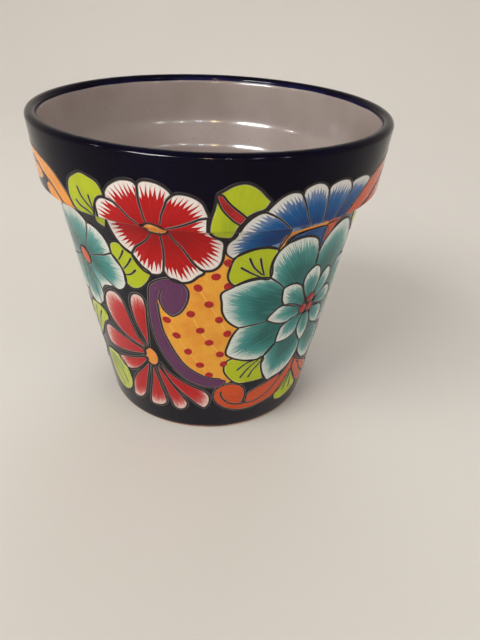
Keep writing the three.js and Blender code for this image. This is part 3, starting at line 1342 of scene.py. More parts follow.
BUD_SHELL = Spray(
    "bud_shell", Paint.LIME, (4.5, 70.0),
    outlines=(
        ((1.9, 28.5), (1.9, 28.5), (3.5, 26), (6.25, 22), (9, 21), (12, 24.5), (14.75, 31.5), (15.8, 34),
         (15.8, 34), (14.25, 39.5), (12.25, 41), (11, 42.5), (9.75, 44.5), (8.75, 48), (7.5, 51.8),
         (6.8, 56), (6.9, 63), (7.2, 70.4), (6.5, 72.7), (4.3, 73.1), (2.3, 72.3), (1, 71), (0.5, 66),
         (0.2, 60), (0, 52), (0.5, 45.5), (0.9, 42), (1.5, 36)),
    ),
    style=BOLD,
)

BUD_STRIPE = Spray(
    "bud_stripe", Paint.BERRY, (2.3, 28.0),
    outlines=(
        ((2, 28.8), (2.7, 29), (4, 32.8), (5.5, 36.8), (7.5, 41.2), (9.4, 45.4), (9.4, 45.4), (8.7, 48),
         (8, 50), (8, 50), (6.6, 47.7), (5.1, 44.2), (3.4, 39.2), (2.4, 34.5)),
    ),
    coating=OVERPAINT, level=LEVEL, style=FINE,
)

SHOULDER_FLOWER = Bloom(
    "shoulder_flower", Paint.BLUE, (33.0, 75.0),
    clefts=(
        ((25.8, 66), (17, 64), (7.4, 63)),
        ((26, 73.5), (25.8, 68), (23, 57.5), (21, 52), (18, 46), (15, 42)),
        ((32.3, 72.5), (31.6, 66), (29.5, 57), (28.2, 50), (27, 42), (25.2, 32.6)),
        ((34, 72.3), (34, 64), (34.1, 50), (34.2, 42), (33.8, 31.8)),
        ((36.4, 72.3), (36.8, 64), (40, 49), (42.5, 42), (43.8, 36), (43.1, 30.8)),
        ((39, 72.4), (39.4, 66), (45, 52.5), (48, 46), (51, 40), (54, 33.5)),
    ),
    lobes=(
        ((7.6, 60), (8.2, 56.5), (9.2, 51.6), (10.9, 46.8), (13, 43.3)),
        ((17, 36.5), (19.5, 31.5), (22, 29.4), (24, 30.2)),
        ((25.7, 28.5), (27.6, 25.8), (30, 25), (32.3, 27.3)),
        ((34.4, 29), (36.5, 26.8), (39.5, 26.3), (42, 28.3)),
        ((44, 29.6), (46.5, 28.6), (49.5, 28.6), (52.3, 30.6)),
    ),
)

SHOULDER_FLOWER_BELOW = Spray(
    "shoulder_flower_below", Paint.BLUE, (33.0, 73.0),
    outlines=(
        ((7.4, 63.5), (16, 64.5), (26, 66.5), (26, 66.5), (25.8, 73), (24.2, 79), (22.6, 85.8),
         (22.6, 85.8), (18.5, 83.3), (14, 84), (10, 87.3), (7.4, 90.5), (7.4, 90.5), (5.4, 86),
         (5.3, 81.5), (5.7, 78.5), (6.6, 76), (7.8, 73.6), (8.6, 70)),
    ),
    style=FINE,
)

SHOULDER_FLOWER_END = Spray(
    "shoulder_flower_end", Paint.DEEP_BLUE, (30.0, 74.0),
    outlines=(
        ((26.3, 82), (27.8, 78.5), (31.5, 76), (37, 75.2), (42, 76.5), (43.2, 80), (42.7, 87), (41.6, 94),
         (41.6, 94), (40, 88.5), (38.5, 84.5), (35.5, 81.3), (32, 80), (28.5, 81.2)),
    ),
    style=StrokeStyle(half_width=0.5),
)

ARC_STROKE = Scroll(
    "arc_stroke", Paint.AMBER,
    bands=((
        ((22.4, 86.5), (22.75, 84.5), (23.5, 78), (25, 74.5), (26.5, 73.5), (30.25, 71.8), (35, 71),
         (40.25, 71.3), (45, 73), (46.8, 75)),
        ((23.6, 87), (24.5, 84.5), (25.25, 79.5), (26.75, 76.5), (30, 74.3), (35.25, 73.6), (40.75, 74.2),
         (44.75, 76), (46, 76.8)),
    ),),
    borders=(
        ((25, 74.5), (23.5, 78), (22.75, 84.5), (22.4, 86)),
        ((23.6, 87), (24.5, 84.5), (25.25, 79.5), (26.75, 76.5), (29, 74.9)),
    ),
    style=StrokeStyle(half_width=0.6),
)

COLLAR_END_EDGE = (
    (90, 29), (84, 25), (77, 23.5), (70, 24.5), (64, 26.5), (58.5, 29.8), (54, 34.5), (50.6, 41), (47, 48),
    (44, 54.5), (42.8, 62), (42.5, 70), (43, 75),
)

COLLAR_END = Scroll(
    "collar_end", Paint.ORANGE,
    bands=(
        (
            COLLAR_END_EDGE,
            ((90, 29.8), (84.5, 31), (78, 32.2), (71, 35), (65, 39.5), (60.5, 45), (56.5, 50.2), (52.3, 54),
             (50, 58.5), (49.6, 63), (49.6, 70), (48.4, 76)),
        ),
        (
            ((92, 37), (86, 34.5), (79, 34.2), (72, 37), (66, 41.5), (61.5, 47), (57.5, 52.2), (53.5, 56),
             (50.5, 60.5)),
            ((92, 37.8), (87, 41.5), (81, 45.5), (75, 50), (68, 54.5), (62, 58), (58, 60.5), (54, 62),
             (51, 62)),
        ),
    ),
    borders=(COLLAR_END_EDGE,),
    inner_lines=(
        ((90, 30.4), (84, 31.8), (78.5, 33), (71.5, 36), (65.5, 40.5), (61, 46), (57, 51.2), (53, 55),
         (49.8, 59.5), (48, 64), (47, 70)),
    ),
)

WALL_TONGUE = Spray(
    "wall_tongue", Paint.ORANGE, (46.0, 74.0),
    outlines=(
        ((42.4, 74.5), (42.4, 74.5), (47.6, 75.5), (45.75, 81), (43.6, 86), (41.3, 91.5), (41.3, 91.5),
         (41.3, 84), (41.7, 78.5)),
    ),
    style=FINE,
)

COLLAR_START_EDGE = (
    (-90, 31), (-85, 26.5), (-78, 24), (-69, 24), (-63, 25), (-57.7, 27.3), (-52.2, 31), (-47.3, 39.5),
    (-43.6, 49.7), (-41.9, 57), (-41.2, 64), (-41, 70),
)

COLLAR_START = Scroll(
    "collar_start", Paint.AMBER,
    bands=((
        COLLAR_START_EDGE,
        ((-90, 31.8), (-85, 33.2), (-78, 34), (-69, 33.4), (-63, 34), (-58.8, 38.5), (-54.2, 42.8),
         (-51.5, 47), (-48.6, 53), (-46.4, 58.5), (-45, 64), (-44, 70)),
    ),),
    areas=(
        ((-59.8, 42.5), (-60.6, 39.5), (-63, 36.8), (-67, 36.2), (-73, 37), (-80, 38.5), (-86, 41),
         (-84, 45.5), (-78, 48), (-73, 48.5), (-67, 48), (-62.3, 46.5)),
        ((-56.6, 45.5), (-54.4, 45.3), (-52.2, 48.2), (-49.4, 54), (-47, 60), (-47, 60), (-50, 60.5),
         (-54, 58), (-56.5, 53), (-57.4, 48.5)),
    ),
    borders=(COLLAR_START_EDGE[::-1],),
    inner_lines=(
        ((-90, 32.6), (-85, 34.2), (-78, 35.2), (-69, 34.6), (-63.5, 35.2), (-60, 38.5), (-57.5, 42.5),
         (-54.5, 44), (-51.8, 47.8), (-49, 53.8), (-46.9, 59), (-45.4, 65)),
        ((-58.6, 40), (-58.8, 44), (-57.8, 49), (-56.8, 54)),
    ),
)

SMALL_LEAF = Spray(
    "small_leaf", Paint.LIME, (20.5, 111.0),
    outlines=(
        ((22.6, 87.5), (21.4, 85.3), (18.5, 83.5), (14, 84.3), (9.8, 87.7), (8, 92), (6.9, 100), (6.4, 107),
         (7.2, 112), (8.9, 115.2), (11, 113.5), (14.5, 111.5), (18, 111), (21.2, 112), (21.6, 108),
         (21.2, 100), (21.8, 93)),
    ),
    veins=(
        ((17.8, 110), (14, 105), (10, 98.8)),
        ((18.5, 108.5), (14.7, 99.5), (12.8, 90.6)),
        ((19, 109.5), (17.6, 100), (16.6, 91.6)),
    ),
)

DOUBLE_FLOWER = Bloom(
    "double_flower", Paint.TEAL, (43.0, 152.0),
    clefts=(
        ((34, 140), (29, 127), (25.3, 118.5), (21.8, 112.3)),
        ((33, 155), (24, 156), (18, 157.5), (12, 159)),
        ((35, 165), (31.5, 172), (29.8, 184.3)),
        ((43, 172), (45, 186), (46.6, 197.5)),
        ((52, 168), (56, 178), (58, 188)),
        ((56, 157), (61, 159), (66, 160.5)),
        ((53, 140), (56.5, 130), (59.8, 119)),
        ((43, 136), (42, 124), (41.8, 111)),
    ),
    lobes=(
        ((20, 111.8), (16, 110.8), (12, 113), (8, 118), (4.4, 123.8), (4.8, 132), (5.2, 142), (7, 150),
         (10, 156.3)),
        ((9.8, 167), (8.3, 177), (7.7, 188), (10.5, 192.5), (15, 196.3), (20, 198.5), (24, 197.5),
         (27, 192)),
        ((27, 191), (25, 198), (24.8, 206), (26, 216), (28, 224), (29.8, 229), (33, 227.5), (38, 225),
         (43, 217), (45.5, 208)),
        ((47.2, 207), (50.5, 217), (55.5, 225), (61, 226), (65, 214), (66, 200), (63, 190)),
        ((65, 190), (71, 184), (73.5, 173), (71, 163.5)),
        ((72, 157), (75, 144), (73.5, 131), (67, 121)),
        ((63.5, 115), (66, 109), (65.4, 101), (62.4, 92), (59.6, 84), (56.3, 79), (52, 77.5), (47, 81.5),
         (43.2, 90), (41.7, 100)),
        ((41.5, 103), (40.5, 94), (39, 86), (36, 81.6), (32, 80), (28, 81.2), (24, 87), (21.9, 94),
         (21.2, 103)),
    ),
)

DOUBLE_FLOWER_INNER = Spray(
    "double_flower_inner", Paint.TEAL, (43.0, 152.0),
    outlines=(
        ((40, 152.5), (38.3, 150), (35, 146), (31, 143.8), (28, 144.5), (25.4, 149), (23.5, 155),
         (25.5, 158), (28.5, 161), (31.5, 162.5), (36, 161), (39.3, 157)),
        ((40.5, 149), (40, 143), (38.5, 136), (36.5, 128), (34, 124.5), (30.5, 123.8), (28.3, 126),
         (28.3, 131), (28.8, 138), (30, 142.5), (33.5, 145.5), (37.5, 149)),
        ((43, 145), (40.6, 140), (38.8, 133), (37.7, 125), (38.3, 118.5), (40, 114.5), (42, 112.5),
         (44.5, 114.5), (46, 119.5), (46.8, 128), (46, 138), (44.5, 143.5)),
        ((46.5, 146.5), (46.8, 137), (47.6, 130), (49.2, 124), (51.5, 120.5), (54, 124), (55, 132),
         (53.3, 140), (50, 146)),
        ((48, 152), (50, 147.5), (53.5, 143.8), (57.3, 144), (60.3, 149), (62, 156), (58, 160),
         (52.5, 158)),
        ((47.5, 158), (50.5, 160), (54, 161.5), (57.2, 166), (59, 175), (58, 183), (54, 181), (50.3, 176),
         (47.8, 167)),
        ((44.5, 161.5), (41.8, 165), (40.8, 173), (42, 182), (44.3, 190), (46.2, 194.5), (46.2, 194.5),
         (47.8, 189), (48.8, 181), (48, 171), (46.3, 164)),
        ((41.5, 160), (37.5, 161), (33.5, 163.8), (31, 168), (30.2, 175), (29.8, 183.8), (29.8, 183.8),
         (33.5, 184), (37, 182.5), (39.7, 178), (41, 170), (41.5, 164)),
    ),
    coating=OVERPAINT, level=LEVEL, style=FINE,
)

DOUBLE_FLOWER_HEART = Spray(
    "double_flower_heart", Paint.BERRY, (43.5, 152.5),
    outlines=(
        ((39.2, 155.5), (40, 151), (42, 150.5), (43, 154), (42.3, 158.8), (40.3, 159.5)),
        ((43.6, 156), (44.6, 151.8), (46.6, 152.3), (47.5, 156), (46.6, 159.5), (44.6, 160)),
        ((42.6, 146.5), (43.8, 142.5), (46, 142), (47.2, 145), (46.3, 149), (44.2, 150)),
    ),
    coating=replace(OVERPAINT, rise=0.4, width=2.4), level=LEVEL, style=FINE,
)

LOW_LEAF = Spray(
    "low_leaf", Paint.LIME, (25.5, 200.0),
    outlines=(
        ((7.25, 202.5), (8.25, 196.5), (10.5, 194), (10.5, 194), (14.25, 197), (18.5, 198.5), (22, 199),
         (24.5, 196.5), (24.5, 196.5), (25.25, 200.5), (24.5, 205.5), (25.25, 214.5), (27, 225), (27, 225),
         (23, 225.5), (19, 225.5), (14.75, 225), (11.75, 221.5), (9, 215), (7.25, 208)),
    ),
    veins=(
        ((21, 199.5), (18, 200.5), (15, 204.5), (12.75, 209)),
        ((23, 200), (21, 202.5), (17.5, 210), (14.75, 219)),
        ((24, 202), (23.25, 204.5), (20.5, 212), (18.75, 220)),
    ),
    style=FINE,
)

FOOT_CURL = ((18.25, 245.5), (18.25, 238), (17, 231.5), (13.5, 226.5), (9.25, 225.5), (5, 229))
FOOT_BACK = (
    (3, 242), (4.5, 248), (8, 254.5), (12.75, 259), (17.75, 261), (23, 261), (29.25, 258.5), (34.75, 256),
    (39.25, 252), (43.5, 244), (46, 234), (46.25, 220.5), (46, 216),
)
FOOT_TONGUE = ((20, 242.5), (22.25, 239), (26.75, 235), (31.75, 232), (37.5, 228))

FOOT_SCROLL = Scroll(
    "foot_scroll", Paint.ORANGE,
    bands=((
        ((3.1, 235.5), *FOOT_BACK),
        ((6.4, 236.5), (6.25, 239), (7.75, 244), (10.5, 249.5), (14.5, 252.5), (18.75, 253), (24.5, 254),
         (29.5, 250.5), (34.25, 243.5), (38.5, 234.5), (41.5, 225), (44.25, 217.5), (45.5, 215)),
    ),),
    areas=(
        ((3, 237), *FOOT_CURL[::-1], (17, 252.3), (17, 252.3), (14.5, 252.2), (10.5, 249.2), (7.75, 243.8),
         (6.4, 238.5)),
        ((19.5, 251), *FOOT_TONGUE, FOOT_TONGUE[-1], (37.6, 234.5), (33.6, 242.7), (29, 249.5),
         (24.5, 252.8), (21, 252.4)),
    ),
    borders=(
        ((16.9, 252.3), *FOOT_CURL, (3, 236), *FOOT_BACK),
        (*FOOT_TONGUE[::-1], (19.5, 250)),
    ),
    inner_lines=(
        ((6.75, 233), (6.3, 237.5), (7.75, 244), (10.5, 249.5), (14.5, 252.4), (18.75, 253), (24.5, 253.5),
         (29.3, 250), (34, 243), (38, 234), (41.2, 225), (44.25, 217.5)),
    ),
    style=OUTLINE,
)

FAR_FOOT_EDGE = (
    (46, 216), (53.75, 225.5), (63, 236), (69.5, 247), (71, 258), (69, 266.5), (63.5, 265.5), (56.75, 257),
    (49.75, 241.5), (45.75, 225.5), (46, 216),
)

FAR_FOOT_SCROLL = Scroll(
    "far_foot_scroll", Paint.ORANGE,
    areas=((FAR_FOOT_EDGE[0], *FAR_FOOT_EDGE[:0:-1]),),
    borders=(FAR_FOOT_EDGE,),
    inner_lines=(
        ((49.5, 223.5), (52.75, 229), (54.5, 235.5), (60.75, 247.5), (68, 258)),
    ),
    style=OUTLINE,
)

EDGE_LEAF = Spray(
    "edge_leaf", Paint.LIME, (66.0, 112.0),
    outlines=(
        ((62.5, 76), (62.5, 76), (62.8, 84), (65.4, 92), (69, 99), (74, 104), (74, 104), (77, 98),
         (77.5, 91), (75.6, 83), (71.5, 78), (66.8, 75.5)),
    ),
    veins=(
        ((73.4, 100), (71.6, 93), (68.8, 83)),
        ((75, 99), (74.6, 93), (73, 86)),
    ),
    style=FINE,
)

FOOT_LEAF_BETWEEN = Spray(
    "foot_leaf_between", Paint.LIME, (47.0, 228.0),
    outlines=(
        ((46.3, 229), (46.3, 229), (43.4, 239), (40.2, 249), (37.6, 256.5), (38.3, 261.5), (42, 265.5),
         (47.5, 265.8), (52.8, 263), (56, 259), (54.2, 252), (51, 243.5), (48, 235)),
    ),
    veins=(
        ((46.6, 236), (45.4, 246), (43.6, 256.5)),
        ((48, 242), (49, 250), (49.2, 258)),
    ),
)

GAP_FLOWER = rosette("gap_flower", Paint.LAVENDER, (-84.8, 213.0), 9, (5.5, 41.0), 0.765)

GAP_LEAF = Spray(
    "gap_leaf", Paint.LIME, (-92.0, 160.0),
    outlines=(
        ((-91, 80), (-91, 80), (-86, 86), (-82.5, 97), (-81.3, 110), (-82.3, 124), (-84.5, 137), (-88, 149),
         (-92, 158), (-92, 158), (-97, 148), (-100.5, 135), (-102, 120), (-101, 104), (-98, 92),
         (-94.5, 84)),
    ),
    veins=(
        ((-92, 150), (-91.6, 130), (-91.2, 112), (-91, 94)),
        ((-90.4, 138), (-87.5, 126), (-86, 114)),
        ((-93.5, 138), (-96, 126), (-97.3, 113)),
        ((-90.3, 118), (-88, 108), (-87.3, 99)),
        ((-92.8, 118), (-95, 108), (-95.4, 98)),
    ),
)

MOTIFS: tuple[Bloom | Spray | Scroll | Ground | Berries, ...] = (
    BERRY_GROUND, BERRIES, RIM_FLOWER, RIM_LEAF, EDGE_FLOWER, WALL_LEAF, LOWER_FLOWER, LOWER_FLOWER_HEART,
    SIDE_LEAF, FOOT_LEAF, PURPLE_SCROLL, BUD_SHELL, BUD_STRIPE, SHOULDER_FLOWER, SHOULDER_FLOWER_BELOW,
    SHOULDER_FLOWER_END, ARC_STROKE, COLLAR_END, WALL_TONGUE, COLLAR_START, SMALL_LEAF, DOUBLE_FLOWER,
    DOUBLE_FLOWER_INNER, DOUBLE_FLOWER_HEART, LOW_LEAF, FOOT_SCROLL, FAR_FOOT_SCROLL, EDGE_LEAF,
    FOOT_LEAF_BETWEEN, GAP_FLOWER, GAP_LEAF,
)


# Finishes

# The Mix node's sockets for colours, by number because several of them share a name
MIX_SHARE, MIX_FIRST, MIX_SECOND = 0, 6, 7
MIX_COLOUR = 2


@dataclass(frozen=True)
class Signal:
    """An output of a shader node. Python's operators on it add Math nodes."""

    shader: "Shader"
    socket: bpy.types.NodeSocket

    def math(self, operation: str, *others: "Signal | float") -> "Signal":
        """A Math node of this signal and the others, in that order."""
        return self.shader.math(operation, self, *others)

    def __add__(self, other: "Signal | float") -> "Signal":
        """The sum."""
        return self.math("ADD", other)

    def __radd__(self, other: float) -> "Signal":
        """The sum, from the right."""
        return self.math("ADD", other)

    def __sub__(self, other: "Signal | float") -> "Signal":
        """The difference."""
        return self.math("SUBTRACT", other)

    def __rsub__(self, other: float) -> "Signal":
        """The difference, from the right."""
        return self.shader.math("SUBTRACT", other, self)

    def __mul__(self, other: "Signal | float") -> "Signal":
        """The product."""
        return self.math("MULTIPLY", other)

    def __rmul__(self, other: float) -> "Signal":
        """The product, from the right."""
        return self.math("MULTIPLY", other)

    def __truediv__(self, other: "Signal | float") -> "Signal":
        """The quotient."""
        return self.math("DIVIDE", other)

    def __abs__(self) -> "Signal":
        """The size without its sign."""
        return self.math("ABSOLUTE")


class Shader:
    """A material's node tree while it is built."""

    def __init__(self, name: str) -> None:
        """Starts a material with only its output and its surface shader."""
        self.material = bpy.data.materials.new(name)
        self.material.use_nodes = True
        self.tree = self.material.node_tree
        self.surface = self.tree.nodes["Principled BSDF"]

    def feed(self, socket: bpy.types.NodeSocket, value: "Signal | float | Sequence[float]") -> None:
        """Links a signal to a socket, or sets the socket to a value."""
        if isinstance(value, Signal):
            self.tree.links.new(value.socket, socket)
        else:
            socket.default_value = value

    def node(
        self,
        kind: str,
        settings: dict[str, object],
        sockets: dict[str | int, "Signal | float | Sequence[float]"],
        output: str | int = 0,
    ) -> Signal:
        """Adds a node, applies its settings, then feeds its sockets.

        Args:
            kind: The node's type.
            settings: Its properties by name.
            sockets: Values or signals by the input's name or number.
            output: The output that the signal stands for.

        Returns:
            The signal of that output.
        """
        node = self.tree.nodes.new(kind)
        for key, value in settings.items():
            setattr(node, key, value)
        for key, value in sockets.items():
            self.feed(node.inputs[key], value)
        return Signal(self, node.outputs[output])

    def math(self, operation: str, *operands: "Signal | float") -> Signal:
        """A Math node."""
        return self.node("ShaderNodeMath", {"operation": operation}, dict(enumerate(operands)))

    def attribute(self, name: str) -> Signal:
        """One of the piece's own values per point."""
        return self.node("ShaderNodeAttribute", {"attribute_name": name}, {}, "Fac")

    def place(self) -> Signal:
        """The place on the object, in metres."""
        return self.node("ShaderNodeTexCoord", {}, {}, "Object")

    def vector(self, x: "Signal | float", y: "Signal | float", z: "Signal | float" = 0.0) -> Signal:
        """Three values as one vector."""
        return self.node("ShaderNodeCombineXYZ", {}, {0: x, 1: y, 2: z})

    def noise(self, where: Signal, scale: float, detail: float = 2.0) -> Signal:
        """Soft noise from 0 to 1 with a mean of about a half."""
        sockets = {"Vector": where, "Scale": scale, "Detail": detail}
        return self.node("ShaderNodeTexNoise", {}, sockets)

    def random(self, number: Signal) -> Signal:
        """A random value from 0 to 1 for each number."""
        return self.node("ShaderNodeTexWhiteNoise", {"noise_dimensions": "1D"}, {"W": number})

    def ease(self, value: Signal, low: float, high: float) -> Signal:
        """0 where the value is below low, 1 above high and smooth between them."""
        sockets = {"Value": value, "From Min": low, "From Max": high}
        return self.node("ShaderNodeMapRange", {"interpolation_type": "SMOOTHSTEP"}, sockets)

    def blend(self, share: Signal, first: "Signal | Colour", second: "Signal | Colour") -> Signal:
        """The first colour where the share is 0, the second where it is 1."""
        first, second = (v if isinstance(v, Signal) else srgb(*v) for v in (first, second))
        sockets = {MIX_SHARE: share, MIX_FIRST: first, MIX_SECOND: second}
        return self.node("ShaderNodeMix", {"data_type": "RGBA"}, sockets, MIX_COLOUR)

    def bump(self, height: Signal, depth: float) -> Signal:
        """A normal bent by a height from 0 to 1 that stands for a depth in mm."""
        return self.node("ShaderNodeBump", {}, {"Distance": depth * MM, "Height": height})

    def finish(self, **sockets: "Signal | float | Sequence[float]") -> bpy.types.Material:
        """Feeds the surface shader's sockets, with _ for a space in their names, and gives the material."""
        for key, value in sockets.items():
            self.feed(self.surface.inputs[key.replace("_", " ")], value)
        return self.material


@dataclass(frozen=True)
class BrushedEnamel:
    """Glossy enamel laid with a brush that fans out from a petal's root.

    The tips are pale. Where the pale tip meets the body, each bristle track ends at a length of its own,
    so the border is a row of spikes: margin is the least white, reach the longest spike and tooth a
    spike's width. The body is deepest at the root. Lengths are in mm, scales in waves a metre or, with
    per_mm in their name, a mm, and the rest are shares from 0 to 1. A span holds the values between which
    something comes in.
    """

    name: str
    slot: Slot
    body: Colour
    deep: Colour
    tip: Colour = (238, 233, 228)
    margin: float = 0.0
    reach: float = 0.0
    tooth: float = 2.4
    softness: float = 0.8
    feather: float = 0.3
    haze: float = 0.0
    hairs: float = 0.3
    streaks: float = 0.3
    cloud: float = 0.2
    deepest: float = 1.0
    # rim, where given, is the colour of a painted highlight: a lighter band along the area's edge
    rim: Colour | None = None
    rim_highlight_width: float = 2.0
    tones_apart: float = 83.0
    sway: float = 2.6
    sway_per_mm: float = 0.11
    streaks_per_mm: Span = (0.85, 0.035)
    threads_per_mm: Span = (2.4, 0.04)
    deepens: Span = (8.0, 34.0)
    hazes: Span = (2.0, 17.0)
    haze_stray: float = 14.0
    shadows: Span = (0.5, 0.75)
    shines: Span = (0.27, 0.47)
    clouds: Span = (0.45, 0.75)
    cloud_scale: float = 55.0
    rim_highlight_inset: float = 0.6
    rim_highlight_stray: float = 3.0
    rim_highlight_strength: float = 0.75
    shortest: float = 0.4
    shortest_at_root: float = 0.2
    lengthens: Span = (0.42, 0.9)
    hair_lines: Span = (0.56, 0.66)
    cover: float = 0.97
    darkened: float = 0.62
    lightened: float = 0.28
    fine_scale: float = 420.0
    relief_depth: float = 0.035

    def material(self) -> bpy.types.Material:
        """Builds the finish from the attributes run, grain, edge and tone."""
        shader = Shader(self.name)
        run, grain = shader.attribute("run"), shader.attribute("grain")
        edge, tone = shader.attribute("edge"), shader.attribute("tone")
        offset = tone * self.tones_apart
        sway = shader.noise(shader.vector(grain + offset, run * 0.6), self.sway_per_mm) - 0.5
        track = grain + sway * self.sway + offset
        across, along = self.streaks_per_mm
        streak = shader.noise(shader.vector(track * across, run * along, tone * 9.0), 1.0, 3.0)
        rooted = shader.ease(run, *self.deepens) * self.deepest
        colour = shader.blend(rooted, self.body, self.deep)
        if self.haze > 0.0:
            hazy = 1.0 - shader.ease(run + (streak - 0.5) * self.haze_stray, *self.hazes)
            colour = shader.blend(hazy * self.haze, colour, self.tip)
        dark = tuple(self.darkened * value for value in self.body)
        light = tuple(value + self.lightened * (255.0 - value) for value in self.body)
        shadow = shader.ease(streak, *self.shadows) * self.streaks
        colour = shader.blend(shadow, colour, dark)
        shine = (1.0 - shader.ease(streak, *self.shines)) * self.streaks
        colour = shader.blend(shine, colour, light)
        patchy = shader.noise(shader.place(), self.cloud_scale, 3.0)
        colour = shader.blend(shader.ease(patchy, *self.clouds) * self.cloud, colour, self.deep)
        # Painted highlight: a lighter band just inside the area's edge
        if self.rim is not None:
            strayed = edge + (patchy - 0.5) * self.rim_highlight_stray
            near = 1.0 - shader.ease(strayed, self.rim_highlight_inset, self.rim_highlight_inset + self.rim_highlight_width)
            colour = shader.blend(near * self.rim_highlight_strength, colour, self.rim)
        if self.reach > 0.0:
            colour = self.tipped(shader, colour, run, track, streak)
        fine = shader.noise(shader.place(), self.fine_scale, 2.0)
        relief = streak * 0.6 + fine * 0.4
        return shader.finish(
            Base_Color=colour,
            Roughness=0.1 + 0.13 * fine,
            Specular_IOR_Level=0.26,
            Normal=shader.bump(relief, self.relief_depth),
        )

    def tipped(self, shader: Shader, colour: Signal, run: Signal, track: Signal, streak: Signal) -> Signal:
        """Lays the pale tip over the body: white where the run is less than each track's own length.

        A track's length is the margin, plus the reach times a ridge that rises from 0 at the track's sides
        to 1 in its middle, times a random share. It is shorter near the brush strokes' root.
        """
        cells = track / self.tooth
        ridge = 1.0 - abs(cells.math("FRACT") * 2.0 - 1.0)
        share = shader.random(cells.math("FLOOR")) * (1.0 - self.shortest) + self.shortest
        feather = (streak - 0.5) * (self.reach * self.feather)
        outward = shader.ease(shader.attribute("outward"), *self.lengthens)
        outward = outward * (1.0 - self.shortest_at_root) + self.shortest_at_root
        length = (self.margin + ridge * share * self.reach + feather) * outward
        white = shader.ease((length - run) / self.softness, -0.5, 0.5)
        across, along = self.threads_per_mm
        thread = shader.noise(shader.vector(track * across, run * along), 1.0, 2.0)
        hair = shader.ease(thread, *self.hair_lines) * self.hairs
        pale = shader.blend(hair, self.tip, self.body)
        return shader.blend(white * self.cover, colour, pale)


@dataclass(frozen=True)
class OutlinePigment:
    """The dark raised line round a motif, with a painted highlight, a pale hairline, along its enamel side.
    """

    slot: Slot = Slot.LINES
    core: Colour = (38, 33, 34)
    # The colour of the painted highlight, a pale hairline along the stroke's edges
    pale: Colour = (158, 148, 146)
    fringe: Colour = (26, 18, 20)
    uneven_scale: float = 300.0
    stray: float = 0.22
    highlight_span: Span = (0.58, 0.76)
    ends: Span = (0.95, 1.08)

    def material(self) -> bpy.types.Material:
        """Builds the finish from the attributes across and halo, the strength of the painted highlight along
        each edge.
        """
        shader = Shader("outline_pigment")
        across, edge_highlight = shader.attribute("across"), shader.attribute("edge_highlight")
        uneven = shader.noise(shader.place(), self.uneven_scale, 3.0)
        side = abs(across) + (uneven - 0.5) * self.stray
        inner = shader.ease(side, *self.highlight_span)
        outer = shader.ease(side, *self.ends)
        colour = shader.blend(outer, self.core, self.fringe)
        # Painted highlight: a pale line just inside each edge of the stroke, as strong as halo gives
        strength = inner * (1.0 - outer) * edge_highlight * (0.65 + 0.5 * uneven)
        colour = shader.blend(strength, colour, self.pale)
        return shader.finish(
            Base_Color=colour,
            Roughness=0.26 + 0.2 * uneven,
            Specular_IOR_Level=0.2,
            Normal=shader.bump(uneven, 0.03),
        )


@dataclass(frozen=True)
class PlainEnamel:
    """Enamel of one colour in small touches, a little uneven."""

    name: str
    slot: Slot
    body: Colour
    deep: Colour
    cloud_scale: float = 210.0
    clouds: Span = (0.38, 0.72)
    fine_scale: float = 700.0
    relief_depth: float = 0.03

    def material(self) -> bpy.types.Material:
        """Builds the finish: clouds of the deeper colour over the body."""
        shader = Shader(self.name)
        cloud = shader.noise(shader.place(), self.cloud_scale, 3.0)
        fine = shader.noise(shader.place(), self.fine_scale, 2.0)
        colour = shader.blend(shader.ease(cloud, *self.clouds), self.body, self.deep)
        return shader.finish(
            Base_Color=colour,
            Roughness=0.12 + 0.12 * fine,
            Specular_IOR_Level=0.3,
            Normal=shader.bump(cloud, self.relief_depth),
        )


@dataclass(frozen=True)
class CobaltGlaze:
    """Near-black cobalt glaze, bluer where it thins out at its edge."""

    name: str
    full: Colour
    thinned: Colour
    specular: float = 0.3
    hole: Colour = (58, 44, 46)
    cloud_scale: float = 24.0
    clouds: Span = (0.4, 0.75)
    thins: Span = (0.35, 1.0)
    hole_scale: float = 900.0
    holes: Span = (0.735, 0.78)
    wave_scale: float = 95.0
    relief_depth: float = 0.05

    def material(self) -> bpy.types.Material:
        """Builds the finish: slow clouds, rare pinholes and a soft waviness."""
        shader = Shader(self.name)
        place = shader.place()
        cloud = shader.noise(place, self.cloud_scale, 4.0)
        fine = shader.noise(place, self.hole_scale, 2.0)
        richer = tuple(1.7 * value + 4.0 for value in self.full)
        colour = shader.blend(shader.ease(cloud, *self.clouds) * 0.5, self.full, richer)
        thin = shader.attribute("thin") * (0.2 + 1.3 * cloud)
        colour = shader.blend(shader.ease(thin, *self.thins), colour, self.thinned)
        pinhole = shader.ease(fine, *self.holes)
        colour = shader.blend(pinhole * 0.5, colour, self.hole)
        wavy = shader.noise(place, self.wave_scale, 2.0)
        return shader.finish(
            Base_Color=colour,
            Roughness=0.09 + 0.07 * cloud + pinhole * 0.3,
            Specular_IOR_Level=self.specular,
            Normal=shader.bump(wavy * 0.8 + fine * 0.05, self.relief_depth),
        )


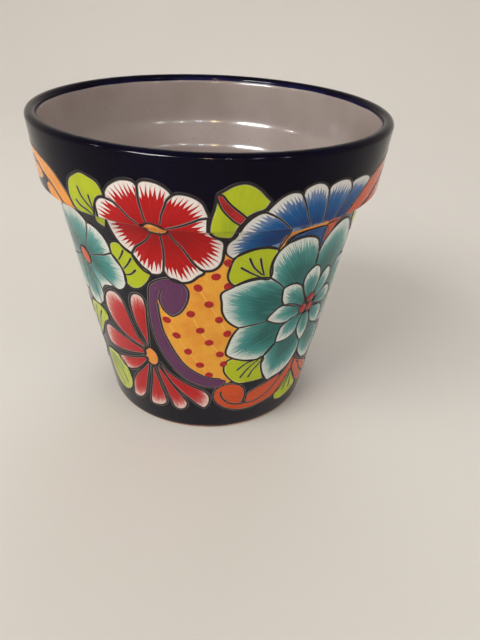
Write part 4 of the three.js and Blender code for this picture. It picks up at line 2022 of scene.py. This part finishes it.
@dataclass(frozen=True)
class LiningGlaze:
    """The warm grey glaze of the inside, softly mottled."""

    light: Colour = (176, 163, 158)
    dark: Colour = (157, 143, 137)
    speck: Colour = (104, 88, 80)
    cloud_scale: float = 11.0
    clouds: Span = (0.3, 0.7)
    speck_scale: float = 260.0
    specks: Span = (0.64, 0.78)
    wave_scale: float = 60.0
    relief_depth: float = 0.12

    def material(self) -> bpy.types.Material:
        """Builds the finish: wide clouds, fine specks and a faint waviness."""
        shader = Shader("lining_glaze")
        place = shader.place()
        cloud = shader.noise(place, self.cloud_scale, 4.0)
        grain = shader.noise(place, self.speck_scale, 3.0)
        colour = shader.blend(shader.ease(cloud, *self.clouds), self.light, self.dark)
        speck = shader.ease(grain, *self.specks) * 0.3
        colour = shader.blend(speck, colour, self.speck)
        colour = shader.blend(shader.attribute("thin") * 0.5, colour, self.speck)
        wavy = shader.noise(place, self.wave_scale, 2.0)
        return shader.finish(
            Base_Color=colour,
            Roughness=0.13 + 0.1 * cloud,
            Specular_IOR_Level=0.4,
            Normal=shader.bump(wavy + grain * 0.08, self.relief_depth),
        )


@dataclass(frozen=True)
class FiredClay:
    """The bare clay of the foot: matt, warm and grainy."""

    light: Colour = (196, 150, 118)
    dark: Colour = (150, 98, 72)
    grit: Colour = (92, 62, 48)
    cloud_scale: float = 40.0
    clouds: Span = (0.35, 0.7)
    grit_scale: float = 1100.0
    grits: Span = (0.62, 0.74)
    relief_depth: float = 0.18

    def material(self) -> bpy.types.Material:
        """Builds the finish: clouds, grit and a rough surface."""
        shader = Shader("fired_clay")
        place = shader.place()
        cloud = shader.noise(place, self.cloud_scale, 5.0)
        grain = shader.noise(place, self.grit_scale, 3.0)
        colour = shader.blend(shader.ease(cloud, *self.clouds), self.light, self.dark)
        colour = shader.blend(shader.ease(grain, *self.grits) * 0.6, colour, self.grit)
        return shader.finish(
            Base_Color=colour,
            Roughness=0.78 + 0.15 * cloud,
            Specular_IOR_Level=0.3,
            Normal=shader.bump(grain * 0.5 + cloud * 0.5, self.relief_depth),
        )


@dataclass(frozen=True)
class StageCloth:
    """The plain pale ground that the pot is shown on."""

    tint: Colour = (226, 221, 214)
    cloud_scale: float = 1.3
    darker_by: float = 6.0

    def material(self) -> bpy.types.Material:
        """Builds the finish: one pale colour with the faintest clouds."""
        shader = Shader("stage")
        cloud = shader.noise(shader.place(), self.cloud_scale, 2.0)
        darker = tuple(value - self.darker_by for value in self.tint)
        colour = shader.blend(cloud, self.tint, darker)
        return shader.finish(Base_Color=colour, Roughness=0.9, Specular_IOR_Level=0.1)


# A paint's rim, where given, is a painted highlight along the edge of each area
PAINTS: dict[Paint, BrushedEnamel | PlainEnamel | OutlinePigment] = {
    Paint.RED: BrushedEnamel(
        "red_brushed", Slot.RED, (184, 10, 14), (168, 6, 12), margin=2.6, reach=17.0, tooth=3.9, softness=0.7,
        hairs=0.55, streaks=0.15,
    ),
    Paint.SOFT_RED: BrushedEnamel(
        "soft_red_brushed", Slot.RED, (190, 36, 38), (180, 30, 34), tip=(238, 210, 204), margin=2.0,
        reach=10.0, tooth=1.4, softness=3.5, feather=0.9, haze=0.25, hairs=0.6, streaks=0.2,
    ),
    Paint.TEAL: BrushedEnamel(
        "teal_brushed", Slot.TEAL, (68, 150, 146), (30, 97, 94), tip=(226, 230, 224), margin=2.6, reach=15.0,
        tooth=1.7, softness=2.8, feather=1.0, haze=0.3, hairs=0.45, streaks=0.35, cloud=0.25,
    ),
    Paint.BLUE: BrushedEnamel(
        "blue_brushed", Slot.BLUE, (4, 92, 156), (2, 50, 112), tip=(224, 222, 216), margin=3.4, reach=10.0,
        tooth=3.0, softness=1.6, feather=0.5, haze=0.3, hairs=0.4, streaks=0.2,
    ),
    Paint.DEEP_BLUE: BrushedEnamel(
        "deep_blue_brushed", Slot.BLUE, (10, 78, 140), (4, 50, 112), streaks=0.2,
        rim=(48, 100, 158), rim_highlight_width=1.0,
    ),
    Paint.LAVENDER: BrushedEnamel(
        "lavender_brushed", Slot.BLUE, (120, 146, 200), (72, 96, 168), margin=3.0, reach=11.0, softness=2.5,
        tooth=1.8, haze=0.2, hairs=0.45,
    ),
    Paint.LIME: BrushedEnamel(
        "lime_brushed", Slot.LIME, (182, 196, 30), (158, 176, 26), streaks=0.15, cloud=0.3,
        rim=(206, 216, 84), rim_highlight_width=1.4,
    ),
    Paint.PALE_LIME: BrushedEnamel(
        "pale_lime_brushed", Slot.LIME, (192, 204, 86), (152, 172, 52), cloud=0.35, rim=(214, 222, 130),
    ),
    Paint.AMBER: BrushedEnamel(
        "amber_brushed", Slot.AMBER, (236, 156, 66), (226, 132, 50), cloud=0.5, deepest=0.0,
    ),
    Paint.GROUND: BrushedEnamel(
        "amber_ground", Slot.AMBER, (238, 168, 60), (224, 134, 44), streaks=0.2, cloud=0.6, deepest=0.0,
    ),
    Paint.ORANGE: BrushedEnamel(
        "orange_brushed", Slot.ORANGE, (208, 80, 34), (192, 62, 28), streaks=0.25, cloud=0.3, deepest=0.0,
    ),
    Paint.PURPLE: BrushedEnamel(
        "purple_brushed", Slot.PURPLE, (98, 54, 92), (78, 40, 76), streaks=0.12, cloud=0.3, deepest=0.0,
    ),
    Paint.BERRY: PlainEnamel("berry_enamel", Slot.RED, (178, 34, 36), (152, 22, 28)),
    Paint.PALE_LINE: PlainEnamel("pale_hairline", Slot.AMBER, (248, 190, 98), (242, 172, 74)),
    Paint.LINE: OutlinePigment(),
}


# The whole pot


@dataclass
class Planter:
    """The pot: clay body, three coats and the painting on both sides."""

    section: Section = field(default_factory=Section)
    rim_glaze_inside: float = 7.0
    bare_foot: float = 0.6
    bare_drain_edge: float = 2.0
    lining_gap: float = 2.6

    def coats(self, surface: Surface) -> list[tuple[TurnedCoat, bpy.types.Material]]:
        """The three coats with their finishes."""
        line = surface.line
        seam = (line.end_of["ledge"] + line.start_of["collar"]) / 2.0
        rim_end = line.end_of["lip_inside"] + self.rim_glaze_inside - self.section_lip()
        sharp = CoatEdge(fade=0.3)
        wall = TurnedCoat(
            "cobalt_wall_coat", Slot.WALL, ("wall_glaze",), line.corner_at["foot"] + self.bare_foot, seam,
            CoatEdge(fade=1.6, stray=0.5, phase=1.3), sharp,
        )
        rim = TurnedCoat(
            "cobalt_rim_coat", Slot.RIM, ("rim_glaze",), seam, rim_end,
            sharp, CoatEdge(fade=3.2, stray=0.9, phase=2.2), proud=0.06,
        )
        lining = TurnedCoat(
            "lining_coat", Slot.LINING, ("inside_glaze",), rim_end - self.lining_gap,
            line.start_of["drain_above"] - self.bare_drain_edge,
            sharp, CoatEdge(fade=2.0, stray=0.6, phase=0.4),
        )
        return [
            (wall, CobaltGlaze("cobalt_wall_glaze", (6, 5, 22), (52, 34, 46)).material()),
            (rim, CobaltGlaze("cobalt_rim_glaze", (5, 2, 19), (22, 20, 70), 0.09).material()),
            (lining, LiningGlaze().material()),
        ]

    def section_lip(self) -> float:
        """The lip's rounding, which takes part of the height that the rim's coat reaches down inside."""
        return next(corner.rounding for corner in self.section.corners() if corner.name == "lip_inside")

    def build(self) -> None:
        """Makes every piece of the pot."""
        surface = Surface(PotLine(self.section))
        coats = self.coats(surface)
        for coat, material in coats:
            report(coat.build(surface, material))
        clay = ClayBody(coats[0][0].start, coats[2][0].end)
        report(clay.build(surface, FiredClay().material()))
        materials = {paint: finish.material() for paint, finish in PAINTS.items()}
        back_swaps = {Paint.RED: Paint.BLUE, Paint.BLUE: Paint.RED, Paint.DEEP_BLUE: Paint.BERRY}
        for name, turn, swaps in (("front", 0.0, {}), ("back", math.pi, back_swaps)):
            canvas = Canvas(name, Brush(surface, turn), swaps)
            for motif in MOTIFS:
                motif.draw(canvas)
            canvas.build(materials)


def report(piece: bpy.types.Object) -> None:
    """Logs a finished piece with the count of its faces."""
    log.info("%s: %d faces", piece.name, len(piece.data.polygons))


# The stage, the lights and the camera


GLINT_DISTANCE = 2.0
BULB = (0.06, 0.06)


@dataclass(frozen=True)
class Lamp:
    """A rectangular lamp that faces a point on the pot, with sizes in metres and its power in watts.

    It gives only soft light or, where it is mirrored, only its mirror image in the gloss.
    """

    name: str
    place: Place
    size: Span
    power: float
    tint: Colour = WHITE
    aim: Place = (0.0, 0.0, 0.15)
    mirrored: bool = False

    def hang(self) -> None:
        """Puts the lamp into the scene."""
        light = bpy.data.lights.new(self.name, "AREA")
        light.shape = "RECTANGLE"
        light.size, light.size_y = self.size
        light.energy = self.power
        light.color = self.tint
        lamp = bpy.data.objects.new(self.name, light)
        lamp.location = self.place
        lamp.rotation_euler = (Vector(self.aim) - Vector(self.place)).to_track_quat("-Z", "Y").to_euler()
        lamp.visible_diffuse = not self.mirrored
        lamp.visible_glossy = self.mirrored
        bpy.context.scene.collection.objects.link(lamp)


def glint(
    name: str, azimuth: float, elevation: float, size: Span, power: float, tint: Colour = WHITE
) -> Lamp:
    """A small lamp that shows as a bright streak or dot in the gloss of the rim.

    Args:
        name: Its name.
        azimuth: Its bearing from the pot's front in degrees, growing to the right.
        elevation: Its height over the rim in degrees.
        size: Its width and height.
        power: Its power in watts.
        tint: Its colour.

    Returns:
        The lamp, at the glints' distance from the rim's middle.
    """
    turn, rise = math.radians(azimuth), math.radians(elevation)
    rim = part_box("rim_glaze")[1].z
    away = GLINT_DISTANCE * math.cos(rise)
    place = (away * math.sin(turn), -away * math.cos(turn), rim + GLINT_DISTANCE * math.sin(rise))
    return Lamp(name, place, size, power, tint, (0.0, 0.0, rim), mirrored=True)


LAMPS = (
    Lamp("key", (-1.2, -1.0, 1.75), (1.3, 1.0), 29.0, (1.0, 0.985, 0.96)),
    Lamp("fill", (1.35, -0.95, 1.1), (1.2, 1.2), 4.0, (0.96, 0.98, 1.0)),
    Lamp("back", (0.3, 1.5, 1.6), (1.4, 0.9), 11.0),
    glint("tube", -36.0, 25.0, (0.75, 0.075), 90.0),
    glint("warm_bulb", -2.0, 25.0, (0.08, 0.08), 7.0, (1.0, 0.75, 0.45)),
    glint("blue_bulb", 10.0, 25.0, BULB, 3.5, (0.75, 0.85, 1.0)),
    glint("small_bulb", 27.0, 28.0, BULB, 3.5),
    glint("right_bulb", 45.0, 25.0, BULB, 2.5),
    glint("left_bulb", -71.0, 25.0, BULB, 3.5),
)


@dataclass(frozen=True)
class Studio:
    """A pale floor that curves up into a round backdrop, under soft lamps. Sizes in metres."""

    flat_rings: tuple[float, ...] = (0.02, 0.4, 0.9)
    flat_radius: float = 1.35
    wall_radius: float = 2.3
    wall_height: float = 2.6
    bend_rings: int = 24
    columns: int = 128
    air_strength: float = 0.35

    def floor(self) -> None:
        """Turns the floor's line: flat, a quarter ellipse up, then an upright wall."""
        turn = np.linspace(0.0, math.pi / 2.0, self.bend_rings)
        bend = self.wall_radius - self.flat_radius
        radius = np.concatenate((self.flat_rings, self.flat_radius + bend * np.sin(turn), [self.wall_radius]))
        flat = np.zeros(len(self.flat_rings))
        height = np.concatenate((flat, bend * (1.0 - np.cos(turn)), [self.wall_height]))
        bearing = once_round(self.columns)
        across, ahead = radius[:, None] * np.sin(bearing), -radius[:, None] * np.cos(bearing)
        rings = np.stack((across, ahead, np.repeat(height[:, None], self.columns, 1)), axis=-1)
        index = np.arange(across.size).reshape(across.shape)
        quads, cap = spanned(index[:-1], index[1:]), fanned(index.size, index[0])
        points = np.vstack((rings.reshape(-1, 3), np.zeros(3)))
        patch = Patch(points, quads[:, ::-1], cap[:, ::-1])
        make_piece("studio_floor", patch, StageCloth().material())

    def build(self) -> None:
        """Lays the floor and sets the lamps and the world's even light."""
        self.floor()
        for lamp in LAMPS:
            lamp.hang()
        world = bpy.data.worlds.new("studio_air")
        world.use_nodes = True
        background = world.node_tree.nodes["Background"]
        background.inputs["Color"].default_value = (*WHITE, 1.0)
        background.inputs["Strength"].default_value = self.air_strength
        bpy.context.scene.world = world


@dataclass(frozen=True)
class ViewPoint:
    """The camera: its place in mm, its turns in radians and its focal length in pixels of a tall frame."""

    place: Place = (0.0, -514.08, 373.13)
    yaw: float = 0.0621
    pitch: float = 0.5476
    roll: float = -0.0485
    focal_pixels: float = 589.5
    frame_height: float = 640.0
    sensor: float = 36.0
    clip_start: float = 0.02

    def build(self) -> None:
        """Sets the camera: it looks along a heading by yaw and pitch, then turns about that by roll."""
        ahead = np.array(
            (
                math.sin(self.yaw) * math.cos(self.pitch),
                math.cos(self.yaw) * math.cos(self.pitch),
                -math.sin(self.pitch),
            )
        )
        right = np.array((math.cos(self.yaw), -math.sin(self.yaw), 0.0))
        down = np.cross(ahead, right)
        image_right = math.cos(self.roll) * right + math.sin(self.roll) * down
        image_down = math.cos(self.roll) * down - math.sin(self.roll) * right
        turned = Matrix((image_right, -image_down, -ahead)).transposed().to_4x4()
        lens = bpy.data.cameras.new("viewpoint")
        lens.sensor_width = self.sensor
        lens.lens = self.focal_pixels / self.frame_height * self.sensor
        lens.clip_start = self.clip_start
        camera = bpy.data.objects.new("viewpoint", lens)
        camera.matrix_world = Matrix.Translation(Vector(self.place) * MM) @ turned
        bpy.context.scene.collection.objects.link(camera)
        bpy.context.scene.camera = camera


def main() -> None:
    """Builds the pot, then the studio and the camera."""
    logging.basicConfig(level=logging.INFO, format="%(name)s: %(message)s")
    bpy.context.scene.view_settings.view_transform = "Standard"
    Planter().build()
    Studio().build()
    ViewPoint().build()


if __name__ == "__main__":
    main()
